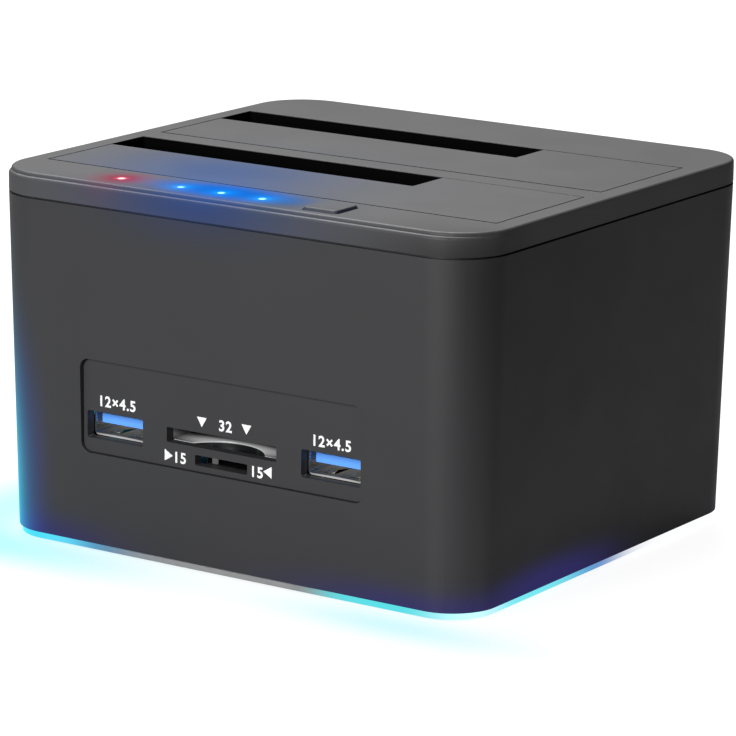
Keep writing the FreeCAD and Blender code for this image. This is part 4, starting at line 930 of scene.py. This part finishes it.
class Workshop:
    """Dresses pieces, puts them on their bodies and reports them."""

    def __init__(self, frame: dict[str, Any]) -> None:
        """Reads the frame's bodies and slots, and starts the finishes.
        """
        bodies = frame["record"]["behaviour"]["bodies"]
        self.body_of = {node: body for body, members in bodies.items() for node in members}
        self.slot_of = {part["node"]: part["material_slot"] for part in frame["record"]["subparts"]}
        self.finishes = Finishes()

    def dress(self, obj: Object, finish: str, slot: str) -> None:
        """Gives an object one material.

        Args:
            obj: The object.
            finish: Its finish.
            slot: The record's slot; not used.
        """
        obj.data.materials.clear()
        obj.data.materials.append(self.finishes.get(finish))

    def place(self, obj: Object, finish: str, body: str, slot: str) -> None:
        """Dresses a piece and puts it on its body.

        Args:
            obj: The piece.
            finish: Its finish.
            body: The body that it rides on.
            slot: The record's slot; not used.
        """
        self.dress(obj, finish, slot)
        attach(obj, body)
        LOG.info("%s: %d faces, %s, on %s", obj.name, len(obj.data.polygons), finish, body)

    def soften(self, *rows: Row) -> None:
        """Replaces CAD nodes with rounded copies on the same bodies.

        Args:
            rows: For each its node, its finish and what its Softener takes.
        """
        for node, finish, *rounding in rows:
            piece = Softener(*rounding).copy(node + "_piece", node)
            self.place(piece, finish, self.body_of[node], self.slot_of[node])

    def twist(self, node: str, finish: str, body: str, low: float, high: float) -> None:
        """Replaces a coil along X with a copy whose upper end turns with another body.

        Args:
            node: The coil's node, on the dock.
            finish: The copy's finish.
            body: The body that its end at the highest X follows.
            low: From the node's lowest X to where the twist starts, in millimetres.
            high: From where the twist ends to the node's highest X.
        """
        obj = Softener(0.0).copy(node + "_piece", node)
        self.dress(obj, finish, self.slot_of[node])
        (start, y, z), (end, _, _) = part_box(node)
        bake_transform(obj, DOCK, body, (start + low * MM, y, z), (end - high * MM, y, z))
        LOG.info("%s: %d faces, %s, from %s to %s", obj.name, len(obj.data.polygons), finish, DOCK, body)


class Repeater:
    """A Geometry Nodes tree that sets one piece on many points."""

    def __init__(self, name: str, **inputs: str) -> None:
        """Starts the tree with its named inputs.

        Args:
            name: The tree's name.
            inputs: More inputs, each with the kind of its socket.
        """
        self.tree = bpy.data.node_groups.new(name, "GeometryNodeTree")
        self.ids: dict[str, str] = {}
        kinds = {"Geometry": "Geometry", "Piece": "Object", "Turn": "Vector", "Finish": "Material"} | inputs
        for label, kind in kinds.items():
            item = self.tree.interface.new_socket(label, in_out="INPUT", socket_type="NodeSocket" + kind)
            self.ids[label] = item.identifier
        self.tree.interface.new_socket("Geometry", in_out="OUTPUT", socket_type="NodeSocketGeometry")
        self.given = self.tree.nodes.new("NodeGroupInput").outputs

    def join(self, source: NodeSocket, node: Node, key: str) -> None:
        """Joins an output to a node's input."""
        self.tree.links.new(source, node.inputs[key])

    def finish(self, points: NodeSocket) -> None:
        """Ends the tree: the piece on every point, realised and dressed.

        Args:
            points: The points' socket.
        """
        info, place, real, dress = (self.tree.nodes.new("GeometryNode" + kind) for kind in (
            "ObjectInfo", "InstanceOnPoints", "RealizeInstances", "SetMaterial"))
        self.join(self.given["Piece"], info, "Object")
        self.join(points, place, "Points")
        self.join(info.outputs["Geometry"], place, "Instance")
        self.join(self.given["Turn"], place, "Rotation")
        self.join(place.outputs["Instances"], real, "Geometry")
        self.join(real.outputs["Geometry"], dress, "Geometry")
        self.join(self.given["Finish"], dress, "Material")
        self.join(dress.outputs["Geometry"], self.tree.nodes.new("NodeGroupOutput"), "Geometry")

    def run(self, host: Object, values: dict[str, Any]) -> Object:
        """Runs the tree on a host and leaves its result as a plain mesh.

        Args:
            host: The object whose mesh the tree starts from.
            values: Values of the named inputs.

        Returns:
            The host with the result as its mesh.
        """
        modifier = host.modifiers.new(self.tree.name, "NODES")
        modifier.node_group = self.tree
        for label, value in values.items():
            modifier[self.ids[label]] = value
        mesh = evaluated(host)
        host.modifiers.clear()
        host.data = mesh
        bpy.data.objects.remove(values["Piece"])
        return even_normals(host)


def on_spots(name: str, piece: Object, spots: Iterable[Point], finish: Material,
             turn: Point = UPRIGHT) -> Object:
    """Sets a piece on given points.

    Args:
        name: The result's name.
        piece: The piece, which is used up.
        spots: Points in millimetres.
        finish: The result's material.
        turn: Rotation of every piece, in radians.

    Returns:
        The result.
    """
    mesh = bpy.data.meshes.new(name)
    mesh.from_pydata([in_metres(spot) for spot in spots], [], [])
    tree = Repeater(name + "_spots")
    tree.finish(tree.given["Geometry"])
    return tree.run(link(name, mesh), {"Piece": piece, "Turn": turn, "Finish": finish})


def in_a_row(name: str, piece: Object, count: int, start: Point, step: Point, finish: Material) -> Object:
    """Sets a piece along a straight row.

    Args:
        name: The result's name.
        piece: The piece, which is used up.
        count: How many.
        start: The first one's place, in millimetres.
        step: From one to the next, in millimetres.
        finish: The result's material.

    Returns:
        The result.
    """
    tree = Repeater(name + "_row", Count="Int", Start="Vector", Step="Vector")
    line = tree.tree.nodes.new("GeometryNodeMeshLine")
    for label, key in (("Count", "Count"), ("Start", "Start Location"), ("Step", "Offset")):
        tree.join(tree.given[label], line, key)
    tree.finish(line.outputs["Mesh"])
    values = {"Piece": piece, "Turn": UPRIGHT, "Finish": finish, "Count": count,
              "Start": in_metres(start), "Step": in_metres(step)}
    return tree.run(link(name, bpy.data.meshes.new(name)), values)


def node_box(node: str) -> tuple[Vector, Vector]:
    """A CAD node's lowest and highest corner in millimetres."""
    low, high = (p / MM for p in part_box(node))
    return low, high


def for_each(ends: Sequence[str], *rows: Row) -> tuple[Row, ...]:
    """The rows once for each end of their nodes' names."""
    return tuple((node + end, *rest) for end in ends for node, *rest in rows)


@dataclass
class Assembly:
    """Pieces that are rounded copies of their CAD nodes.

    Attributes:
        rounded: For each piece its node, its finish and what its Softener takes.
    """

    rounded: tuple[Row, ...] = ()

    def build(self, shop: Workshop) -> None:
        """Builds and dresses the pieces."""
        shop.soften(*self.rounded)


@dataclass
class Housing(Assembly):
    """Housing, port panel, base, light ring and feet."""

    rounded: tuple[Row, ...] = (
        ("main_housing", "housing_plastic", 0.18, 3), ("port_panel", "panel_plastic", 0.12),
        ("base_plate", "inner_plastic", 0.15), ("light_ring", "ring_guide", 0.1))
    foot_radius: float = 5.0
    foot_height: float = 1.6
    foot_spots: tuple[float, float] = (38.0, 31.0)

    def build(self, shop: Workshop) -> None:
        """Adds the feet, each with a sunk ring in its sole, at the four corners.

        Args:
            shop: The workshop.
        """
        super().build(shop)
        r, h = self.foot_radius, self.foot_height
        foot = lathe("foot", [(0, 0.25), (r - 1.6, 0.25), (r - 1.3, 0.0), (r - 0.45, 0.0), (r - 0.12, 0.12),
                              (r, 0.4), (r, h), (0, h)], 48)
        x, y = self.foot_spots
        spots = [(sx * x, sy * y, 0.0) for sx in (-1, 1) for sy in (-1, 1)]
        made = on_spots("feet", foot, spots, shop.finishes.get("rubber"))
        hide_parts("rubber_feet")
        shop.place(made, "rubber", DOCK, "rubber")


@dataclass
class Cover(Assembly):
    """Top cover, flaps with their pins and springs, and the copy key."""

    rounded: tuple[Row, ...] = (("top_cover", "cover_plastic", 0.12, 2, 60.0),)
    flap: tuple[Row, ...] = (("flap_", "flap_plastic", 0.08), ("flap_pin_", "pin_steel", 0.0))
    key: tuple[Row, ...] = (
        ("copy_button", "cover_plastic", 0.15), ("button_plunger", "nylon", 0.1),
        ("button_switch", "black_plastic", 0.1))
    dock_leg: float = 0.7
    flap_leg: float = 0.95

    def build(self, shop: Workshop) -> None:
        """Builds the cover, the flaps with springs whose upper legs follow them, and the key.

        Args:
            shop: The workshop.
        """
        super().build(shop)
        for bay in BAYS:
            shop.soften(*for_each((bay,), *self.flap))
            shop.twist("flap_spring_" + bay, "coil_steel", bay + "_flap", self.dock_leg, self.flap_leg)
        shop.soften(*self.key)


@dataclass
class StatusLights(Assembly):
    """Light pipes with domed tops, their board and lamps."""

    rounded: tuple[Row, ...] = (
        ("indicator_board", "board_lacquer", 0.05), ("indicator_lamps", "lamp_package", 0.08),
        ("indicator_lead", "ribbon", 0.0), ("lead_sockets", "nylon", 0.12))
    radius: float = 0.8
    collar: float = 1.4
    shelf_depth: float = 2.1
    dome: float = 0.12
    lip: float = 0.1

    def pipe(self, name: str) -> Object:
        """Turns one light pipe.

        Args:
            name: Its name.

        Returns:
            The pipe, at the origin's X and Y.
        """
        ends = node_box("power_light_pipe")
        low, shelf = ends[0].z, ends[1].z - self.shelf_depth
        r, c, neck = self.radius, self.collar, TOP - self.lip
        rise = [(r * math.cos(a), neck + (self.lip + self.dome) * math.sin(a)) for a in (0.3, 0.6, 0.9, 1.2)]
        return lathe(name, [(0, low), (c - 0.15, low), (c, low + 0.15), (c, shelf - 0.1), (c - 0.1, shelf),
                            (r, shelf), (r, neck)] + rise + [(0, TOP + self.dome)], 32)

    def build(self, shop: Workshop) -> None:
        """Builds the light pipes, then their board.

        Args:
            shop: The workshop.
        """
        red = move(self.pipe("power_pipe"), Matrix.Translation(in_metres((POWER_X, LAMP_Y, 0))))
        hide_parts("power_light_pipe")
        shop.place(red, "red_lens", DOCK, "clear_plastic")
        spots = [(x, LAMP_Y, 0) for x in COPY_XS]
        blue = on_spots("copy_pipes", self.pipe("pipe"), spots, shop.finishes.get("blue_lens"))
        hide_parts("copy_light_pipes")
        shop.place(blue, "blue_lens", DOCK, "clear_plastic")
        super().build(shop)


@dataclass
class FrontPorts(Assembly):
    """Two ports, the card sockets and the print on the panel."""

    rounded: tuple[Row, ...] = (
        *for_each(SIDES, ("port_shell_", "port_sheet", 0.06), ("port_tongue_", "blue_plastic", 0.12),
                  ("port_contacts_", "gold", 0.04, 1)),
        ("card_socket_sheet", "card_sheet", 0.06), ("card_socket_block", "black_plastic", 0.1),
        ("card_contacts", "gold", 0.03, 1), ("small_card_socket", "black_plastic", 0.05),
        ("small_card_contacts", "gold", 0.03, 1))
    ink_depth: float = 0.03
    digit_height: float = 2.05
    digit_share: float = 0.7
    boldness: float = 0.075
    spacing: float = 1.12
    arrow_size: float = 1.9
    weld: float = 0.0001
    arrows: tuple[Point, ...] = (
        (-5.5, 30.45, -90.0), (4.9, 30.55, -90.0), (-13.4, 22.65, 0.0), (9.9, 23.0, 180.0))
    sizes: tuple[tuple[str, float, float], ...] = (
        ("12×4.5", -25.7, 29.95), ("12×4.5", 24.3, 29.85), ("32", 0.0, 29.35),
        ("15", -10.7, 21.55), ("15", 7.3, 21.6))

    def build(self, shop: Workshop) -> None:
        """Prints the sizes over the ports and beside the card slots, and the triangles.

        Args:
            shop: The workshop.
        """
        super().build(shop)
        for k, (size, x, z) in enumerate(self.sizes):
            figures = self.stand(self.figures(f"size_{k}", size), x, z)
            self.close(figures.data)
            shop.place(figures, "white_ink", DOCK, "housing_plastic")
        s, d = self.arrow_size, self.ink_depth
        corners = [(a * s, b * s, -d / 2) for a, b in ((-0.45, -0.6), (0.55, 0.0), (-0.45, 0.6))]
        for k, (x, z, turn) in enumerate(self.arrows):
            arrow = from_bmesh(f"arrow_{k}", prism(corners, (0.0, 0.0, d)), crease=180.0)
            shop.place(self.stand(arrow, x, z, turn), "white_ink", DOCK, "housing_plastic")

    def stand(self, obj: Object, x: float, z: float, turn: float = 0.0) -> Object:
        """Stands a flat mark from the XY plane on the panel's face.

        Args:
            obj: The mark.
            x: Its place along the panel, in millimetres.
            z: Its height.
            turn: Its turn in its own plane, in degrees.

        Returns:
            The mark.
        """
        face = node_box("port_panel")[0].y
        place = Matrix.Translation(in_metres((x, face - self.ink_depth / 2, z)))
        upright = place @ Matrix.Rotation(math.pi / 2, 4, "X")
        return move(obj, upright @ Matrix.Rotation(math.radians(turn), 4, "Z"))

    def figures(self, name: str, size: str) -> Object:
        """Figures for an opening's size in millimetres, lying on the XY plane.

        Args:
            name: The figures' name.
            size: What they say.

        Returns:
            The figures.
        """
        text = bpy.data.curves.new("size", "FONT")
        text.body, text.align_x = size, "CENTER"
        text.offset, text.extrude = self.boldness * MM, self.ink_depth * MM / 2
        text.space_character, text.size = self.spacing, self.digit_height * MM / self.digit_share
        source = link("size", text)
        mesh = evaluated(source)
        bpy.data.objects.remove(source)
        return link(name, mesh)

    def close(self, mesh: Mesh) -> None:
        """Joins the faces and the sides of figures.

        Args:
            mesh: The figures' mesh.
        """
        shape = bmesh.new()
        shape.from_mesh(mesh)
        bmesh.ops.remove_doubles(shape, verts=shape.verts, dist=self.weld * MM)
        shape.to_mesh(mesh)
        shape.free()


@dataclass
class DriveBays(Assembly):
    """Cradle, main board and the drive connectors with their rows of contacts."""

    rounded: tuple[Row, ...] = (("drive_cradle", "inner_plastic", 0.15), ("main_board", "board_lacquer", 0.05))
    rows: tuple[tuple[str, int], ...] = (("power", 15), ("signal", 7))
    pin_pitch: float = 1.27
    pin_half: float = 0.3
    row_gap: float = 3.6

    def build(self, shop: Workshop) -> None:
        """Builds the cradle, the board, its connectors with their contacts, and its parts.

        Args:
            shop: The workshop.
        """
        super().build(shop)
        for bay in BAYS:
            shop.soften(("drive_connector_" + bay, "black_plastic", 0.12))
            self.contacts(shop, bay)
        shop.soften(("main_board_chips", "chip_package", 0.08))
        self.capacitors(shop)

    def blade(self, height: float) -> Object:
        """One contact: a thin blade with a bowed, rounded tip.

        Args:
            height: Its height in millimetres.

        Returns:
            The blade, standing at the origin with its back at Y 0.
        """
        outline = [(-self.pin_half, y, z) for y, z in (
            (0.0, 0.0), (0.0, height), (-0.1, height), (-0.22, height - 0.35), (-0.3, height - 1.1),
            (-0.18, height - 2.2), (-0.2, 0.0))]
        return from_bmesh("blade", prism(outline, (2 * self.pin_half, 0.0, 0.0)), 50.0)

    def contacts(self, shop: Workshop, bay: str) -> None:
        """Sets the rows of blades in one bay's connector.

        Args:
            shop: The workshop.
            bay: The bay's name.
        """
        node = "drive_contacts_" + bay
        low, high = node_box(node)
        x = low.x + self.pin_half
        made = []
        for name, count in self.rows:
            made.append(in_a_row(f"{name}_blades_{bay}", self.blade(high.z - low.z), count, (x, high.y, low.z),
                                 (self.pin_pitch, 0.0, 0.0), shop.finishes.get("gold")))
            x += count * self.pin_pitch + self.row_gap
        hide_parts(node)
        for row in made:
            shop.place(row, "gold", shop.body_of[node], shop.slot_of[node])

    def capacitors(self, shop: Workshop) -> None:
        """Turns one capacitor with a rolled neck and a sunk lid, and sets both in place.

        Args:
            shop: The workshop.
        """
        low, high = node_box("capacitors")
        r, h = (high.y - low.y) / 2, high.z - low.z
        can = lathe("can", [(0, 0.05), (r - 0.5, 0.05), (r - 0.1, 0.3), (r, 0.7), (r, 1.2), (r - 0.25, 1.45),
                            (r - 0.25, 1.65), (r, 1.9), (r, h - 0.5), (r - 0.2, h - 0.1), (r - 0.6, h),
                            (r - 0.8, h - 0.15), (0, h - 0.15)])
        spots = [(x, (low.y + high.y) / 2, low.z) for x in (low.x + r, high.x - r)]
        made = on_spots("capacitor_cans", can, spots, shop.finishes.get("sleeve"))
        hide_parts("capacitors")
        shop.place(made, "sleeve", DOCK, "black_plastic")


@dataclass
class RearPorts(Assembly):
    """Power socket, computer port and power switch."""

    rounded: tuple[Row, ...] = (
        ("power_jack", "black_plastic", 0.12), ("power_jack_pin", "port_sheet", 0.0),
        ("host_port_shell", "port_sheet", 0.08), ("host_port_block", "blue_plastic", 0.12),
        ("power_switch_frame", "black_plastic", 0.12), ("power_rocker", "black_plastic", 0.3, 3))


@dataclass
class PortBoard(Assembly):
    """Port board, its parts, and the glow board with its lamps."""

    rounded: tuple[Row, ...] = (
        ("port_board", "dark_lacquer", 0.05), ("glow_board", "board_lacquer", 0.05),
        ("port_board_chips", "chip_package", 0.06), ("board_link", "black_plastic", 0.1),
        ("glow_lamps", "lamp_package", 0.08), ("glow_lead", "ribbon", 0.0))


@dataclass
class Screws:
    """All the screws: pan heads with a cross recess, one kind for each size.

    Attributes:
        kinds: For each kind its node, shank radius, head radius, head height, shank length, and
            whether its head is below.
        pitch: From one turn of the thread to the next, in millimetres.
        ridge: The thread's width at its root.
        plain: Bare shank at each end of the thread.
        core: The thread's root, as a share of the shank's radius.
    """

    kinds: tuple[tuple[str, float, float, float, float, bool], ...] = (
        ("base_screws", 1.0, 2.0, 1.2, 8.0, True), ("cradle_screws", 1.0, 2.0, 1.3, 8.0, False),
        ("main_board_screws", 0.8, 1.6, 1.1, 4.4, True), ("port_board_screws", 0.8, 1.6, 1.1, 5.5, False),
        ("indicator_board_screws", 0.8, 1.6, 1.1, 5.5, True))
    pitch: float = 0.5
    ridge: float = 0.36
    plain: float = 0.6
    core: float = 0.8

    def screw(self, r: float, head_r: float, head: float, length: float) -> Object:
        """Makes one screw, head up, its seat at the origin.

        Args:
            r: Shank radius.
            head_r: Head radius.
            head: Head height.
            length: Shank length.

        Returns:
            The screw.
        """
        ridges = []
        z = -length + self.plain
        while z < -self.plain:
            ridges += [(r * self.core, z), (r, z + self.ridge / 2), (r * self.core, z + self.ridge)]
            z += self.pitch
        body = lathe("screw", [(0, -length), (r * 0.3, -length)] + ridges + [
            (r * 0.85, -0.15), (r * 0.85, 0), (head_r, 0), (head_r, head * 0.55), (head_r * 0.88, head * 0.85),
            (head_r * 0.65, head), (0, head)], 28)
        cutter = bmesh.new()
        arm, half, deep = head_r * 0.55, head_r * 0.12, head * 0.45
        box_into(cutter, (-arm, -half, deep), (arm, half, head + 1))
        box_into(cutter, (-half, -arm, deep), (half, arm, head + 1))
        tool = link("cross", mesh_of("cross", cutter))
        body.modifiers.clear()
        cut = body.modifiers.new("recess", "BOOLEAN")
        cut.operation, cut.solver, cut.use_self, cut.object = "DIFFERENCE", "EXACT", True, tool
        body.data = evaluated(body)
        body.modifiers.clear()
        bpy.data.objects.remove(tool)
        return body

    def build(self, shop: Workshop) -> None:
        """Sets every kind of screw in its holes.

        Args:
            shop: The workshop.
        """
        for node, r, head_r, head, length, below in self.kinds:
            low, high = node_box(node)
            seat = low.z + head if below else high.z - head
            spots = sorted({(round(x, 4), round(y, 4), seat) for x in (low.x + head_r, high.x - head_r)
                            for y in (low.y + head_r, high.y - head_r)})
            made = on_spots(node + "_set", self.screw(r, head_r, head, length), spots,
                            shop.finishes.get("screw_steel"), (math.pi if below else 0.0, 0.0, 0.0))
            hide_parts(node)
            shop.place(made, "screw_steel", DOCK, "screw_steel")


@dataclass
class Viewpoint:
    """The camera. Its angles are in degrees, its lens and sensor in millimetres."""

    place: Point = (443.91, -660.62, 224.18)
    azimuth: float = 33.964
    elevation: float = 13.568
    roll: float = 0.651
    lens: float = 202.0
    sensor: float = 36.0
    clip: tuple[float, float] = (10.0, 20000.0)

    def build(self) -> None:
        """Makes the camera and gives it to the scene."""
        data = bpy.data.cameras.new("camera")
        data.lens, data.sensor_width = self.lens, self.sensor
        data.clip_start, data.clip_end = in_metres(self.clip)
        camera = link("camera", data)
        bpy.context.scene.camera = camera
        matrix = Matrix.Translation(in_metres(self.place))
        for angle, axis in ((self.azimuth, "Z"), (90.0 - self.elevation, "X"), (self.roll, "Z")):
            matrix = matrix @ Matrix.Rotation(math.radians(angle), 4, axis)
        camera.matrix_world = matrix


@dataclass
class Studio:
    """Pale floor, soft lamps and a plain world.

    Attributes:
        ambient: How strongly the white world lights.
        mirrored: How bright the floor looks in reflections.
        seen: How bright the floor looks.
        unlit: How much darker the floor is for the lamps than it looks.
        halo: Colour of the base's light on the floor.
        halos: Where that light lies, how far it reaches and how strong it is.
        lamps: For each lamp its name, place, size and power.
        aim: Height that the lamps point at.
        floor_size: From the floor's middle to its edge.
    """

    ambient: float = 0.06
    mirrored: float = 0.08
    seen: float = 0.9
    unlit: float = 0.8
    halo: Colour = (0.45, 0.92, 1.0)
    halos: tuple[tuple[Point, Point, float], ...] = (
        ((-46.0, -56.0, 0.0), (30, 11, 9), 0.8), ((-66.0, -30.0, 0.0), (16, 44, 9), 0.9),
        ((42.0, -55.0, 0.0), (24, 7, 9), 0.6))
    lamps: tuple[tuple[str, Point, float, float], ...] = (
        ("overhead", (-350.0, 280.0, 900.0), 600.0, 16.0),
        ("front", (20.0, -1000.0, 420.0), 500.0, 12.8),
        ("right_rim", (900.0, 100.0, 400.0), 400.0, 0.15))
    aim: float = 30.0
    floor_size: float = 6000.0

    def build(self) -> None:
        """Makes the floor, the lamps and the world."""
        self.floor()
        for name, place, size, power in self.lamps:
            data = bpy.data.lights.new(name, "AREA")
            data.size, data.energy = size * MM, power
            lamp = link(name, data)
            lamp.location = in_metres(place)
            to_aim = Vector((0, 0, self.aim * MM)) - lamp.location
            lamp.rotation_euler = to_aim.to_track_quat("-Z", "Y").to_euler()
        self.world()

    def floor(self) -> None:
        """A white floor that shows the base's glow and a faint shadow."""
        shape = bmesh.new()
        bmesh.ops.create_grid(shape, x_segments=1, y_segments=1, size=self.floor_size * MM)
        floor = link("floor", mesh_of("floor", shape))
        shader = Shader("floor_white")
        total = 0.0
        for centre, radii, strength in self.halos:
            fall = Glow(centre, radii, self.halo, strength).fall(shader)
            total = shader.sums("ADD", total, shader.sums("MULTIPLY", fall, strength))
        tint = shader.blend(shader.sums("MINIMUM", total, 1.0), WHITE, self.halo)
        ray = shader.add("ShaderNodeLightPath").outputs
        mirrored = shader.sums("MULTIPLY", ray["Is Glossy Ray"], self.mirrored)
        shown = shader.sums("ADD", ray["Is Camera Ray"], mirrored)
        shader.set(Base_Color=shader.blend(self.unlit, tint, BLACK), Roughness=0.9, Specular_IOR_Level=0.0,
                   Emission_Color=tint, Emission_Strength=shader.sums("MULTIPLY", shown, self.seen))
        floor.data.materials.append(shader.material)

    def world(self) -> None:
        """White where it is seen, dimmer where it lights."""
        world = bpy.data.worlds.new("studio")
        bpy.context.scene.world = world
        world.use_nodes = True
        tree = world.node_tree
        back = tree.nodes["Background"].inputs
        back["Color"].default_value = (*WHITE, 1.0)
        ray = tree.nodes.new("ShaderNodeLightPath").outputs
        seen = tree.nodes.new("ShaderNodeMath")
        seen.operation = "MAXIMUM"
        for k, kind in enumerate(("Is Camera Ray", "Is Transmission Ray")):
            tree.links.new(ray[kind], seen.inputs[k])
        strength = tree.nodes.new("ShaderNodeMapRange")
        strength.inputs["To Min"].default_value = self.ambient
        strength.inputs["To Max"].default_value = 1.0
        tree.links.new(seen.outputs[0], strength.inputs["Value"])
        tree.links.new(strength.outputs["Result"], back["Strength"])


def main() -> None:
    """Loads the frame, builds every sub-assembly on it, and sets the studio."""
    logging.basicConfig(level=logging.INFO, format="%(message)s")
    for obj in list(bpy.data.objects):
        bpy.data.objects.remove(obj)
    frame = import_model()
    Viewpoint().build()
    shop = Workshop(frame)
    for kind in (Housing, Cover, StatusLights, FrontPorts, DriveBays, RearPorts, PortBoard, Screws):
        kind().build(shop)
    Studio().build()
    bpy.context.scene.view_settings.view_transform = "Standard"


if __name__ == "__main__":
    main()
